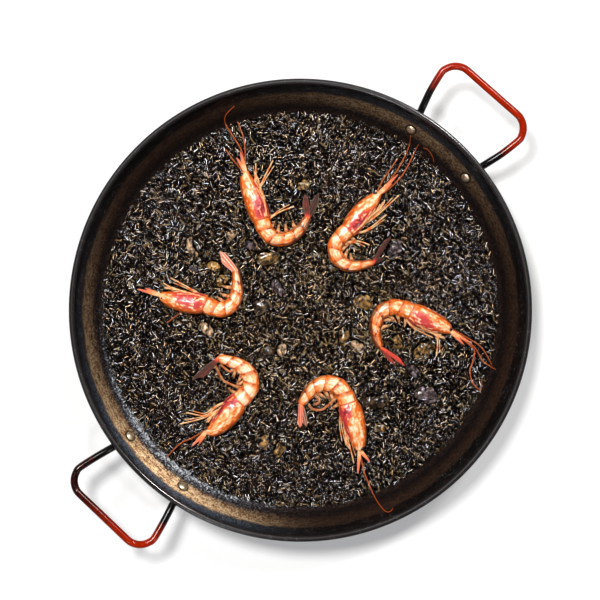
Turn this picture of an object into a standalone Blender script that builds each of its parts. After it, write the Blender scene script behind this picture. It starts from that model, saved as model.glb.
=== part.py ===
"""Squid ink rice in its wide carbon steel pan, with six whole prawns and chunks of cuttlefish.

Dimensions are in millimetres and become metres when a mesh is made. The origin is the centre of
the pan's underside, +Z is up and +X points along the pan's first handle.
"""
import math
import random

import bmesh
import bpy
import numpy as np
from mathutils import Matrix, Vector
from mathutils.geometry import delaunay_2d_cdt
from mathutils.kdtree import KDTree

METRES = 0.001
UP = Vector((0.0, 0.0, 1.0))
GAP = 0.3                   # air left between neighbouring pieces
WELD = 0.000001             # metres within which corners count as one

# ---- pan -----------------------------------------------------------------------------------------
RIM_DIAMETER = 460.0        # over the rolled bead
PAN_HEIGHT = 50.0           # underside to the top of the bead
SHEET = 1.5
BEAD_DIAMETER = 6.0
WALL_ANGLE = 54.0           # degrees above the horizontal
WALL_TOP_RADIUS = 224.5     # where the inner wall runs into the bead
WALL_TOP_LEVEL = 45.0
BASE_FILLET = 13.0          # inside, between the flat base and the wall
PAN_FACETS = 64

# ---- handles and rivets --------------------------------------------------------------------------
ROD_DIAMETER = 7.5
ROD_SIDES = 8
HANDLE_TURN = 1.1           # degrees that each handle sits off the pan's middle line
HANDLE_REACH = {"handle_a": 287.5, "handle_b": 282.7}   # pan centre to the bar's middle
HANDLE_BAR_LEVEL = 50.0
HANDLE_CORNER = 18.0        # radius of the rod's bend
HANDLE_HALF_SPAN = 51.0     # at the widest, where the legs meet the corners
TAB_WIDTH = 11.0            # the rod's ends are pressed flat where they are riveted
TAB_THICKNESS = 3.0
TAB_OUTLINE = ((-6.2, 0.45, 0.8), (-4.4, 0.85, 1.0), (0.0, 1.0, 1.0), (5.4, 0.95, 1.0))
ROD_ROUND_FROM = 11.0       # up the wall from the rivet, where the rod is round again
LEG_PATH = ((229.0, 41.4, -12.0), (236.0, 43.6, -9.6), (250.0, 47.6, -6.8))   # out, aside, under the bar
CORNER_DROP = 3.6           # how far a corner starts below the bar
RIVET_RADIUS_FROM_AXIS = 213.0
RIVET_SPREAD = 9.9          # degrees either side of the handle's middle
RIVET_HEAD = 9.5
RIVET_DOME = 2.1
RIVET_SHANK = 5.0
RIVET_FACETS = 10

# ---- rice ----------------------------------------------------------------------------------------
RICE_LEVEL = 14.0           # height of the layer's top over the underside of the pan
RICE_WAVE = 0.4             # slow rise and fall of the surface
GRAIN_BUMP = 1.2            # a grain's half thickness, the relief of the surface
GRAIN_PITCH = 9.5           # spacing of the bumps, about a grain's length with its gap
RICE_EDGE_RADIUS = 200.4
RICE_EDGE_WANDER = 1.3
RICE_TOP = RICE_LEVEL + RICE_WAVE + GRAIN_BUMP

# ---- prawns --------------------------------------------------------------------------------------
BED = 12.6                  # how low the prawns and chunks press into the rice
BODY_SIDES = 8
BLADE_SIDES = 4
STRAND_SIDES = 3
CARAPACE_SHAPE = ((0.0, 3.2), (0.13, 6.0), (0.32, 8.4), (0.55, 9.8), (0.8, 10.2), (1.0, 9.2))
ABDOMEN_SHAPE = ((0.0, 7.9), (0.2, 7.7), (0.4, 7.4), (0.6, 6.6), (0.8, 5.3), (1.0, 3.5))
MIDDLE_LEVEL = ((0.0, 18.0), (0.3, 19.6), (0.45, 19.8), (0.7, 18.6), (1.0, 17.2))
BODY_FLATNESS = 0.76        # a prawn lying on its side is less thick than it is deep
SHELL_RINGS = 6             # rings of the abdomen, each lapping over the next
SHELL_LAP = 0.92
FEELER_RADII = (0.95, 0.55)
LEG_RADII = (1.25, 0.7)
SWIMMER_LENGTH = 11.0
SWIMMER_SIZE = ((0.0, 1.9), (0.45, 1.7), (1.0, 0.7))
FAN_BLADE = ((0.0, 2.4), (0.35, 3.6), (0.8, 3.3), (1.0, 1.6))
FAN_THICKNESS = 1.1
SCALE_BLADE = ((0.0, 2.6), (0.5, 2.1), (1.0, 0.5))
EYE_RADIUS = 2.3
SWIMMER_PLACES = (0.08, 0.25, 0.42, 0.58, 0.74)
SWIMMER_ROOT_LEVEL = 18.4
SWIMMER_TIP_LEVEL = 16.9
SWIMMER_LEAN = 0.35         # how far the swimmers lean towards the head, or inward where they trail

# Where each prawn lies on the plan, nose first. The curl is anticlockwise from nose to tail.
# Swimmers fan out from the curl, or lie parallel where "trail" gives the way they point, in degrees.
PRAWNS = {
    "prawn_1": {
        "girth": 1.0,
        "carapace": ((66, 136), (60, 129), (51, 111), (42, 93)),
        "abdomen": ((36.5, 83), (35, 72), (40, 62.5), (50, 56.5), (62, 55), (74, 58)),
        "fan": ((89, 75), (99, 66)),
        "eye": (61, 136),
        "scales": ((77, 153), (70, 152)),
        "feelers": (
            ((68, 138), (78, 152), (82, 163), (85, 174), (88, 184), (94, 188), (106, 187)),
            ((68, 138), (87, 157), (98, 176)),
            ((64, 137), (66, 153), (69, 166)),
        ),
        "legs": (
            ((47, 92), (58, 102), (67, 120)),
            ((44, 86), (58, 83), (73, 76)),
            ((60, 121), (67, 123), (79, 134)),
            ((56, 112), (75, 118), (93, 123)),
        ),
        "swimmers": 0.75,
        "trail": 44.5,
    },
    "prawn_2": {
        "girth": 0.96,
        "carapace": ((141, 21), (132, 21), (114, 21), (95, 19)),
        "abdomen": ((86, 20), (74, 19), (66, 12), (64, 1), (69, -10), (85, -22)),
        "fan": ((117, -17), (97, -27)),
        "eye": (138, 24),
        "scales": ((168, 20), (157, 18)),
        "feelers": (
            ((139, 20), (149, 17), (167, 16), (180, 18), (197, 23), (204, 25)),
            ((138, 21), (160, 22), (178, 25), (197, 31), (205, 37)),
            ((136, 22), (152, 27), (165, 29), (180, 31)),
        ),
        "legs": (
            ((98, 14), (120, 8), (153, 5)),
            ((93, 13), (106, 5), (130, 1)),
            ((76, 13), (82, 12), (91, 4), (96, -7)),
        ),
        "swimmers": 0.85,
    },
    "prawn_3": {
        "girth": 1.02,
        "carapace": ((-85, 115), (-81, 105), (-72, 90), (-62, 77)),
        "abdomen": ((-59, 68), (-53, 59), (-42, 55), (-30.5, 59.5), (-22, 67), (-15, 75)),
        "fan": ((-11.5, 100), (-16, 94)),
        "eye": (-85, 111),
        "scales": ((-96, 136), (-90, 131)),
        "feelers": (
            ((-60, 84, 27.6), (-68, 86, 27.4), (-80, 87, 22.5), (-90, 89, 17.2), (-101, 91, 16.8)),
        ),
        "legs": (
            ((-56, 80), (-60, 99), (-65, 119)),
            ((-58, 82), (-69, 102), (-74, 121)),
        ),
        "swimmers": 0.95,
        "trail": 117.0,
    },
    "prawn_4": {
        "girth": 1.03,
        "carapace": ((87, -127), (85, -116), (79, -99), (75, -86)),
        "abdomen": ((72, -77), (65, -67), (53, -62), (41, -66), (32, -75), (27, -85)),
        "fan": ((30, -116), (24, -108)),
        "eye": (88, -125),
        "scales": ((92, -150), (86, -146)),
        "feelers": (
            ((87, -125), (89, -142), (89, -157), (80, -164), (71, -168), (64, -178), (63, -189),
             (67, -188), (71, -184)),
            ((88, -125), (91, -142), (91, -157), (87, -171), (88, -181), (89, -186)),
            ((89, -125), (93, -142), (96, -158), (94, -170), (90, -181)),
        ),
        "legs": (
            ((70, -86), (69, -104), (77, -122)),
            ((67, -79), (64, -96), (70, -118)),
            ((77, -106), (72, -122), (59, -133)),
        ),
        "swimmers": 0.95,
    },
    "prawn_5": {
        "girth": 1.08,
        "carapace": ((-155, -13), (-148, -17), (-130, -18), (-112, -16)),
        "abdomen": ((-103, -17), (-91, -15), (-83, -5), (-83, 8), (-87, 19), (-92, 28)),
        "fan": ((-126, 33), (-119, 28)),
        "eye": (-153, -10),
        "scales": ((-176, -12), (-170, -16)),
        "feelers": (
            ((-153, -12), (-169, -7), (-181, -2), (-192, -1), (-203, -1)),
        ),
        "legs": (
            ((-112, -12), (-128, -4), (-144, -1), (-155, 15)),
            ((-122, -10), (-146, -2), (-168, 12)),
        ),
        "long_swimmers": (
            ((-97, -12), (-102.4, -1), (-105.5, 9), (-103, 18), (-100, 26)),
            ((-87, 9.5), (-94, 10), (-95.5, 16), (-95.7, 23)),
        ),
        "swimmers": 0.95,
    },
    "prawn_6": {
        "girth": 1.1,
        "carapace": ((-64, -140), (-59, -134), (-48, -118), (-38, -101)),
        "abdomen": ((-33, -91), (-31.5, -80), (-37, -69.5), (-47, -63.5), (-59, -63), (-70, -65)),
        "fan": ((-88, -80), (-83, -84)),
        "eye": (-61, -141),
        "scales": ((-83, -155), (-66, -156)),
        "feelers": (
            ((-65, -141), (-77.5, -158.5), (-83, -170), (-88, -181), (-90.5, -190), (-91, -197.5),
             (-89, -201), (-86, -202), (-83.4, -201.5)),
        ),
        "legs": (
            ((-43, -100), (-58, -116), (-78, -145)),
            ((-38, -94), (-56, -107), (-70, -127)),
        ),
        "long_swimmers": (
            ((-36, -84), (-51, -86), (-60.4, -84), (-65.7, -77.4), (-65.4, -71)),
            ((-53, -66), (-55.5, -77), (-62, -75)),
        ),
        "swimmers": 1.1,
    },
}
LOOSE_FEELER = ((204.7, 19), (206.2, 15), (205.6, 9.3), (204, 4.5), (202, 1.7))

# ---- cuttlefish ----------------------------------------------------------------------------------
CHUNK_SIDES = 6
CHUNK_THICKNESS = 5.6
CHUNK_OUTLINE = (0.55, 1.0, 0.95, 0.5)
# Place on the plan, length, width and the way each chunk points, in degrees.
PALE, TAN, OCHRE, PURPLE, DARK = "pale", "tan", "ochre", "purple", "dark"
CHUNKS = (
    (-27, 124, 20, 7, -118, PALE), (-26, 95, 13, 9, -68, TAN), (-41, 109, 9, 7, -48, PURPLE),
    (-32, 80, 12, 9, -2, TAN), (9, 104, 11, 7, -18, PALE), (14, 83, 10, 8, -78, PURPLE),
    (17, 61, 22, 12, -38, OCHRE), (-23, 32, 17, 14, -18, DARK), (2, 31, 20, 8, -102, PURPLE),
    (50, -41, 18, 14, -58, OCHRE), (110, -28, 19, 12, 14, PURPLE), (96, 84, 12, 9, -28, TAN),
    (9, -50, 17, 9, 38, OCHRE), (13, -67, 13, 9, -78, PALE), (42, -94, 13, 8, 50, OCHRE),
    (55, -119, 21, 14, -18, OCHRE), (33, -127, 13, 9, -98, PURPLE), (24, -152, 21, 15, -62, PURPLE),
    (-16, -119, 25, 11, -40, DARK), (-32, -141, 12, 7, -72, OCHRE), (-55, -3, 14, 11, -22, DARK),
    (-43, -12, 10, 9, 22, PALE), (-77, 56, 13, 10, -98, PALE), (-124, -63, 14, 8, 28, OCHRE),
    (-118, -79, 17, 8, 14, TAN),
)

COLOURS = {
    "carbon_steel": (0.045, 0.035, 0.03), "red_enamel": (0.55, 0.03, 0.01),
    "rivet_metal": (0.75, 0.68, 0.55), "ink_rice": (0.02, 0.018, 0.014),
    "prawn_shell": (0.85, 0.32, 0.1), PALE: (0.6, 0.42, 0.28), TAN: (0.5, 0.28, 0.1),
    OCHRE: (0.38, 0.22, 0.05), PURPLE: (0.14, 0.08, 0.08), DARK: (0.06, 0.035, 0.02),
}


def material(name):
    """The named Principled material, made on first use."""
    found = bpy.data.materials.get(name)
    if found is None:
        found = bpy.data.materials.new(name)
        found.use_nodes = True
        shader = found.node_tree.nodes["Principled BSDF"]
        shader.inputs["Base Color"].default_value = (*COLOURS[name], 1.0)
        shader.inputs["Roughness"].default_value = 0.4
        shader.inputs["Metallic"].default_value = 1.0 if name == "rivet_metal" else 0.0
    return found


def solid(name, points, faces, surface):
    """A closed mesh object from points in millimetres."""
    mesh = bpy.data.meshes.new(name)
    mesh.from_pydata([Vector(p) * METRES for p in points], [], faces)
    mesh.materials.append(material(surface))
    work = bmesh.new()
    work.from_mesh(mesh)
    bmesh.ops.recalc_face_normals(work, faces=work.faces)
    work.to_mesh(mesh)
    work.free()
    mesh.shade_smooth()
    made = bpy.data.objects.new(name, mesh)
    bpy.context.scene.collection.objects.link(made)
    return made


def boolean(base, others, operation):
    """Joins the other objects to the base, or cuts them from it, and removes them."""
    group = bpy.data.collections.new(base.name + "_operands")
    bpy.context.scene.collection.children.link(group)
    for other in others:
        group.objects.link(other)
    step = base.modifiers.new(operation.title(), "BOOLEAN")
    step.operation = operation
    step.operand_type = "COLLECTION"
    step.collection = group
    step.solver = "EXACT"
    bpy.context.view_layer.update()
    result = bpy.data.meshes.new_from_object(base.evaluated_get(bpy.context.evaluated_depsgraph_get()))
    base.modifiers.clear()
    base.data = result
    for other in others:
        bpy.data.objects.remove(other)
    bpy.data.collections.remove(group)
    tidy(base)


def tidy(base):
    """Welds coincident corners and drops any scrap that hangs loose from the main solid."""
    work = bmesh.new()
    work.from_mesh(base.data)
    bmesh.ops.remove_doubles(work, verts=work.verts, dist=WELD)
    left = set(work.verts)
    islands = []
    while left:
        island, front = set(), [left.pop()]
        while front:
            corner = front.pop()
            island.add(corner)
            for edge in corner.link_edges:
                other = edge.other_vert(corner)
                if other in left:
                    left.discard(other)
                    front.append(other)
        islands.append(island)
    islands.sort(key=len, reverse=True)
    for island in islands[1:]:
        bmesh.ops.delete(work, geom=list(island), context="VERTS")
    work.to_mesh(base.data)
    work.free()


# ---- shapes --------------------------------------------------------------------------------------
def tube(name, stations, surface, sides):
    """A closed solid swept through stations of (centre, half width, half height, heading if known)."""
    points, faces = [], []
    last = len(stations) - 1
    start = {3: 0.75, 4: 0.0}.get(sides, 0.5)
    for i, (centre, width, height, *heading) in enumerate(stations):
        chord = stations[min(i + 1, last)][0] - stations[max(i - 1, 0)][0]
        along = (heading[0] if heading else chord).normalized()
        across = UP.cross(along).normalized()
        top = along.cross(across)
        for k in range(sides):
            turn = math.tau * (k + start) / sides
            points.append(centre + across * (width * math.cos(turn)) + top * (height * math.sin(turn)))
    for i in range(last):
        for k in range(sides):
            a, b = i * sides + k, i * sides + (k + 1) % sides
            faces.append((a, b, b + sides, a + sides))
    faces.append(tuple(reversed(range(sides))))
    faces.append(tuple(range(last * sides, (last + 1) * sides)))
    return solid(name, points, faces, surface)


def turned(name, profile, surface, facets):
    """A solid turned about Z from a profile of (radius, level) that starts and ends on the axis."""
    points = [(0.0, 0.0, profile[0][1])]
    for radius, level in profile[1:-1]:
        for k in range(facets):
            turn = math.tau * k / facets
            points.append((radius * math.cos(turn), radius * math.sin(turn), level))
    points.append((0.0, 0.0, profile[-1][1]))
    rings = len(profile) - 2
    faces = []
    for k in range(facets):
        after = (k + 1) % facets
        faces.append((0, 1 + after, 1 + k))
        for i in range(rings - 1):
            low, high = 1 + i * facets, 1 + (i + 1) * facets
            faces.append((low + k, low + after, high + after, high + k))
        low = 1 + (rings - 1) * facets
        faces.append((low + k, low + after, len(points) - 1))
    return solid(name, points, faces, surface)


def curve(points, steps=6):
    """Points along a smooth line through the given ones."""
    known = [Vector(p) for p in points]
    known = [known[0] * 2 - known[1]] + known + [known[-1] * 2 - known[-2]]
    line = []
    for a, b, c, d in zip(known, known[1:], known[2:], known[3:]):
        for k in range(steps):
            t = k / steps
            line.append(0.5 * (2 * b + (c - a) * t + (2 * a - 5 * b + 4 * c - d) * t * t
                               + (3 * b - a - 3 * c + d) * t * t * t))
    return line + [known[-2]]


def walk(line, shares):
    """Points at the given shares of a line's length."""
    steps = [(b - a).length for a, b in zip(line, line[1:])]
    reached = np.concatenate(([0.0], np.cumsum(steps)))
    table = np.array([tuple(p) for p in line])
    return [Vector([float(np.interp(share * reached[-1], reached, column)) for column in table.T])
            for share in shares]


def shape(profile, share):
    """The value of a profile of (share, value) pairs at one share."""
    return float(np.interp(share, *zip(*profile)))


# ---- pan, handles, rivets ------------------------------------------------------------------------
def wall_direction():
    """The way up the wall, and outward from it, as (radial, level) pairs."""
    tilt = math.radians(WALL_ANGLE)
    return (math.cos(tilt), math.sin(tilt)), (math.sin(tilt), -math.cos(tilt))


def wall_level(radius):
    """Height of the inner wall at a radius."""
    return WALL_TOP_LEVEL - (WALL_TOP_RADIUS - radius) * math.tan(math.radians(WALL_ANGLE))


def inner_profile(offset, steps=2):
    """The pan's inner surface, raised by an offset, from the flat base to the top of the fillet."""
    out = wall_direction()[1]
    centre_level = SHEET + BASE_FILLET
    slack = BASE_FILLET + (centre_level - WALL_TOP_LEVEL) * out[1]
    centre_radius = WALL_TOP_RADIUS - slack / out[0]
    bend = BASE_FILLET - offset
    line = []
    for k in range(steps + 1):
        turn = math.radians(-90.0 + WALL_ANGLE * k / steps)
        line.append((centre_radius + bend * math.cos(turn), centre_level + bend * math.sin(turn)))
    return line


def make_pan():
    """The pan: one pressed sheet with its edge rolled into a bead."""
    bead = BEAD_DIAMETER / 2
    centre = (RIM_DIAMETER / 2 - bead, PAN_HEIGHT - bead)
    start, end, steps = math.radians(-113.6), math.radians(217.3), 7
    profile = [(0.0, 0.0)] + inner_profile(-SHEET)
    for k in range(steps + 1):
        turn = start + (end - start) * k / steps
        profile.append((centre[0] + bead * math.cos(turn), centre[1] + bead * math.sin(turn)))
    profile += list(reversed(inner_profile(0.0))) + [(0.0, SHEET)]
    return turned("pan", profile, "carbon_steel", PAN_FACETS)


def on_wall(turn, up, out):
    """A point on the wall at an angle: so far up from the rivet line, so far out of the inner face."""
    rise, outward = wall_direction()
    radius = RIVET_RADIUS_FROM_AXIS + up * rise[0] + out * outward[0]
    level = wall_level(RIVET_RADIUS_FROM_AXIS) + up * rise[1] + out * outward[1]
    return Vector((radius * math.cos(turn), radius * math.sin(turn), level))


def handle_half(reach):
    """Stations of the handle's +Y half, from the tab to the middle of the bar."""
    turn = math.radians(RIVET_SPREAD)
    rod = ROD_DIAMETER / 2
    tab_out = SHEET + GAP + TAB_THICKNESS / 2
    rod_out = SHEET + GAP + rod
    stations = []
    for up, width, height in TAB_OUTLINE:
        size = (width * TAB_WIDTH / 2, height * TAB_THICKNESS / 2)
        stations.append((on_wall(turn, up, tab_out), *size))
    stations.append((on_wall(turn, ROD_ROUND_FROM, rod_out), rod, rod))
    corner_u, corner_v = reach - HANDLE_CORNER, HANDLE_HALF_SPAN - HANDLE_CORNER
    bar = HANDLE_BAR_LEVEL
    path = [(out, aside, bar + drop) for out, aside, drop in LEG_PATH]
    for share in (0.0, 1 / 3, 2 / 3, 1.0):
        bend = math.radians(90.0 * share)
        path.append((corner_u + HANDLE_CORNER * math.sin(bend), corner_v + HANDLE_CORNER * math.cos(bend),
                     bar - CORNER_DROP * (1.0 - share)))
    path.append((reach, corner_v / 2, bar))
    return stations + [(Vector(p), rod, rod) for p in path]


def make_handle(name, heading):
    """A bent rod with flattened, drilled ends, riveted under the rim."""
    half = handle_half(HANDLE_REACH[name])
    mirrored = [(Vector((p.x, -p.y, p.z)), width, height) for p, width, height in reversed(half)]
    handle = tube(name, half + mirrored, "red_enamel", ROD_SIDES)
    holes = [drill(side) for side in (1, -1)]
    boolean(handle, holes, "DIFFERENCE")
    spin(handle, heading)
    return handle


def rivet_frame(piece, side):
    """Stands a piece turned about Z on the wall's outward line at one rivet."""
    angle = math.radians(RIVET_SPREAD) * side
    out = on_wall(angle, 0.0, 1.0) - on_wall(angle, 0.0, 0.0)
    swing = UP.rotation_difference(out).to_matrix().to_4x4()
    piece.data.transform(Matrix.Translation(on_wall(angle, 0.0, 0.0) * METRES) @ swing)


def drill(side):
    """A cutter for the rivet hole, through wall and tab."""
    radius = RIVET_SHANK / 2 + GAP
    profile = ((0.0, -3.0), (radius, -3.0), (radius, 9.0), (0.0, 9.0))
    cutter = turned("drill", profile, "carbon_steel", RIVET_FACETS)
    rivet_frame(cutter, side)
    return cutter


def make_rivet(name, side, heading):
    """A rivet with a domed head inside the pan and another outside the handle's tab."""
    head, shank, dome = RIVET_HEAD / 2, RIVET_SHANK / 2, RIVET_DOME
    inside = -GAP - 0.25
    outside = SHEET + TAB_THICKNESS + 2 * GAP
    profile = ((0.0, inside - dome), (head * 0.64, inside - dome * 0.78), (head, inside - 0.1),
               (head, inside), (shank, inside), (shank, outside), (head, outside),
               (head, outside + 0.1), (head * 0.64, outside + dome * 0.78), (0.0, outside + dome))
    rivet = turned(name, profile, "rivet_metal", RIVET_FACETS)
    rivet_frame(rivet, side)
    spin(rivet, heading)
    return rivet


def spin(piece, degrees):
    """Turns a piece's mesh about the pan's axis."""
    angle = math.radians(degrees)
    for corner in piece.data.vertices:
        x, y, z = corner.co
        corner.co = (x * math.cos(angle) - y * math.sin(angle), x * math.sin(angle) + y * math.cos(angle), z)


# ---- prawns --------------------------------------------------------------------------------------
def strand_level(point, radius):
    """Centre height of a strand that lies on the rice, or up the wall where the rice ends."""
    slope = math.cos(math.radians(WALL_ANGLE))
    on_rice = RICE_TOP + GAP + radius
    up_wall = wall_level(math.hypot(point[0], point[1])) + (radius + 2 * GAP) / slope
    return max(on_rice, up_wall)


def strand(name, points, radii, count, start_level=None):
    """A thin round strand that tapers along its length."""
    flat = [(p[0], p[1], p[2] if len(p) > 2 else 0.0) for p in points]
    stations = []
    for k, place in enumerate(walk(curve(flat), np.linspace(0.0, 1.0, count))):
        share = k / (count - 1)
        radius = radii[0] + (radii[1] - radii[0]) * share
        if place.z < 1.0:
            rest = strand_level(place, radius)
            lift = 0.0 if start_level is None else max(0.0, start_level - rest) * (1.0 - share) ** 2
            place = Vector((place.x, place.y, rest + lift))
        stations.append((place, radius, radius))
    return tube(name, stations, "prawn_shell", STRAND_SIDES)


def blade(name, start, end, profile, thickness, stations=4):
    """A flat, pointed blade such as one leaf of the tail fan."""
    made = []
    for k in range(stations):
        share = k / (stations - 1)
        made.append((start.lerp(end, share), shape(profile, share), thickness * (1.0 - 0.35 * share)))
    return tube(name, made, "prawn_shell", BLADE_SIDES)


def make_prawn(name, spec):
    """A whole prawn lying on its side: carapace, ringed abdomen, tail fan, legs and feelers."""
    girth = spec["girth"]
    spine = curve([(*p, 0.0) for p in spec["carapace"] + spec["abdomen"]])
    total = sum((b - a).length for a, b in zip(spine, spine[1:]))
    front = curve([(*p, 0.0) for p in spec["carapace"]])
    joint = sum((b - a).length for a, b in zip(front, front[1:])) / total + 0.02

    stations = []
    shell = [(joint * u, shape(CARAPACE_SHAPE, u)) for u in (0.0, 0.13, 0.32, 0.55, 0.8, 0.99)]
    for ring in range(SHELL_RINGS):
        for u, lap in ((ring + 0.06, 1.0), (ring + 0.98, SHELL_LAP)):
            u /= SHELL_RINGS
            shell.append((joint + (1.0 - joint) * u, shape(ABDOMEN_SHAPE, u) * lap))
    for share, width in shell:
        place, back, ahead = walk(spine, (share, share - 0.01, share + 0.01))
        height = width * girth * BODY_FLATNESS
        level = max(shape(MIDDLE_LEVEL, share), BED + height)
        stations.append((Vector((place.x, place.y, level)), width * girth, height, ahead - back))
    body = tube(name, stations, "prawn_shell", BODY_SIDES)

    extras = []
    nose, tail = stations[0][0], stations[-1][0]
    for order, tip in enumerate(spec["fan"]):
        end = Vector((*tip, tail.z + 0.3))
        start = tail.lerp(end, -0.08) + UP * (0.5 - 0.8 * order)
        extras.append(blade(name + "_fan", start, end, FAN_BLADE, FAN_THICKNESS))
    for order, tip in enumerate(spec["scales"]):
        end = Vector((*tip, nose.z))
        start = nose.lerp(end, -0.1) + UP * (0.5 - 0.9 * order)
        extras.append(blade(name + "_scale", start, end, SCALE_BLADE, 1.0, 3))
    for line in spec["feelers"]:
        extras.append(strand(name + "_feeler", line, FEELER_RADII, len(line) + 2, nose.z))
    for line in spec["legs"] + spec.get("long_swimmers", ()):
        extras.append(strand(name + "_leg", line, LEG_RADII, len(line) + 1, nose.z))

    length = SWIMMER_LENGTH * spec["swimmers"]
    trail = math.radians(spec.get("trail", 0.0))
    for place in SWIMMER_PLACES:
        u = joint + (1.0 - joint) * place
        here, ahead = walk(spine, (u, u + 0.02))
        along = (ahead - here).normalized()
        inward = Vector((-along.y, along.x, 0.0))
        width = shape(ABDOMEN_SHAPE, place) * girth
        root = here + inward * (width * 0.4) + UP * SWIMMER_ROOT_LEVEL
        if trail:
            lean = (inward * SWIMMER_LEAN + Vector((math.cos(trail), math.sin(trail), 0.0))).normalized()
        else:
            lean = (inward - along * SWIMMER_LEAN).normalized()
        tip = here + inward * width + lean * length + UP * SWIMMER_TIP_LEVEL
        extras.append(blade(name + "_swimmer", root, tip, SWIMMER_SIZE, 0.9, 3))

    eye = bpy.data.meshes.new(name + "_eye")
    work = bmesh.new()
    bmesh.ops.create_icosphere(work, subdivisions=1, radius=EYE_RADIUS * METRES)
    bmesh.ops.translate(work, verts=work.verts, vec=Vector((*spec["eye"], nose.z + 1.6)) * METRES)
    work.to_mesh(eye)
    work.free()
    eye.materials.append(material("prawn_shell"))
    ball = bpy.data.objects.new(name + "_eye", eye)
    bpy.context.scene.collection.objects.link(ball)
    extras.append(ball)

    boolean(body, extras, "UNION")
    return body


# ---- cuttlefish and rice -------------------------------------------------------------------------
def make_chunk(name, x, y, length, width, heading, surface, draw):
    """A bent, blunt-ended chunk pressed a little into the rice."""
    angle = math.radians(heading)
    along = Vector((math.cos(angle), math.sin(angle), 0.0))
    across = Vector((-along.y, along.x, 0.0))
    bow = draw.uniform(0.08, 0.2) * length
    count = len(CHUNK_OUTLINE)
    stations = []
    for k, outline in enumerate(CHUNK_OUTLINE):
        share = k / (count - 1) - 0.5
        half = outline * width / 2 * draw.uniform(0.85, 1.0)
        height = CHUNK_THICKNESS / 2 * (0.75 + 0.25 * outline) * draw.uniform(0.9, 1.0)
        centre = Vector((x, y, BED + height)) + along * (share * length) + across * (bow * (4 * share ** 2 - 0.5))
        stations.append((centre, half, height))
    return tube(name, stations, surface, CHUNK_SIDES)


def sample_points(pieces, spacing=3.0):
    """Points spread over the surfaces of the pieces, in millimetres."""
    found = []
    for piece in pieces:
        mesh = piece.data
        mesh.calc_loop_triangles()
        for triangle in mesh.loop_triangles:
            a, b, c = (mesh.vertices[i].co / METRES for i in triangle.vertices)
            parts = max(1, math.ceil(max((b - a).length, (c - a).length, (c - b).length) / spacing))
            for i in range(parts + 1):
                for j in range(parts + 1 - i):
                    found.append(a + (b - a) * (i / parts) + (c - a) * (j / parts))
    return found


def make_rice(toppings, draw):
    """The layer of rice: its top carries bumps of a grain's size and dips under what lies on it."""
    samples = sample_points(toppings)
    tree = KDTree(len(samples))
    for i, p in enumerate(samples):
        tree.insert((p.x, p.y, 0.0), i)
    tree.balance()

    flat = []
    for k in range(PAN_FACETS):
        angle = math.tau * k / PAN_FACETS
        radius = RICE_EDGE_RADIUS + draw.uniform(-RICE_EDGE_WANDER, RICE_EDGE_WANDER)
        flat.append(Vector((radius * math.cos(angle), radius * math.sin(angle))))
    limit = RICE_EDGE_RADIUS - RICE_EDGE_WANDER - GRAIN_PITCH * 0.6
    row_step = GRAIN_PITCH * math.sqrt(3) / 2
    rows = int(limit / row_step) + 1
    for row in range(-rows, rows + 1):
        for column in range(-rows, rows + 1):
            x = (column + 0.5 * (row % 2)) * GRAIN_PITCH + draw.uniform(-0.2, 0.2) * GRAIN_PITCH
            y = row * row_step + draw.uniform(-0.2, 0.2) * GRAIN_PITCH
            if math.hypot(x, y) < limit:
                flat.append(Vector((x, y)))
    border = [(k, (k + 1) % PAN_FACETS) for k in range(PAN_FACETS)]
    corners, _, triangles, *_ = delaunay_2d_cdt(flat, border, [], 1, 0.001)

    points = []
    for i, place in enumerate(corners):
        radius = place.length
        if i < PAN_FACETS:
            level = wall_level(radius) + GAP / math.cos(math.radians(WALL_ANGLE))
        else:
            wave = RICE_WAVE * math.sin(place.x / 37.0 + 1.3) * math.cos(place.y / 29.0)
            level = RICE_LEVEL + wave + draw.uniform(-GRAIN_BUMP, GRAIN_BUMP)
            for spot, index, away in tree.find_range((place.x, place.y, 0.0), GRAIN_PITCH * 1.35):
                level = min(level, samples[index].z - GAP)
        points.append((place.x, place.y, level))

    faces = [tuple(triangle) for triangle in triangles]
    above = list(range(PAN_FACETS))
    for radius, level in reversed(inner_profile(GAP)):
        below = list(range(len(points), len(points) + PAN_FACETS))
        for k in range(PAN_FACETS):
            angle = math.tau * k / PAN_FACETS
            points.append((radius * math.cos(angle), radius * math.sin(angle), level))
            after = (k + 1) % PAN_FACETS
            faces.append((above[k], above[after], below[0] + after, below[0] + k))
        above = below
    faces.append(tuple(reversed(above)))
    return solid("rice", points, faces, "ink_rice")


def main():
    """Clears the scene and builds every piece."""
    for old in list(bpy.data.objects):
        bpy.data.objects.remove(old)

    pan = make_pan()
    headings = {"handle_a": HANDLE_TURN, "handle_b": 180.0 - HANDLE_TURN}
    cutters = []
    number = 0
    for name, heading in headings.items():
        make_handle(name, heading)
        for side in (1, -1):
            number += 1
            make_rivet(f"rivet_{number}", side, heading)
            cutter = drill(side)
            spin(cutter, heading)
            cutters.append(cutter)
    boolean(pan, cutters, "DIFFERENCE")

    toppings = [make_prawn(name, spec) for name, spec in PRAWNS.items()]
    toppings.append(strand("loose_feeler", LOOSE_FEELER, (0.8, 0.8), 5))
    draw = random.Random(46)
    for number, (x, y, length, width, heading, surface) in enumerate(CHUNKS, 1):
        toppings.append(make_chunk(f"cuttlefish_{number:02d}", x, y, length, width, heading, surface, draw))
    make_rice(toppings, draw)


main()
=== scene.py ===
"""Squid ink rice in its wide enamelled pan, with whole prawns and cuttlefish, dressed round the solids.

Sizes are in millimetres unless a setting says otherwise, and become metres when a mesh is made. The
origin is the centre of the pan's underside, +Z is up and +X points along the pan's first handle.
"""

import math
from functools import partial

import bpy
import numpy as np
from bpy.props import FloatProperty, FloatVectorProperty, IntProperty, PointerProperty
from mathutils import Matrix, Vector, noise


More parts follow.
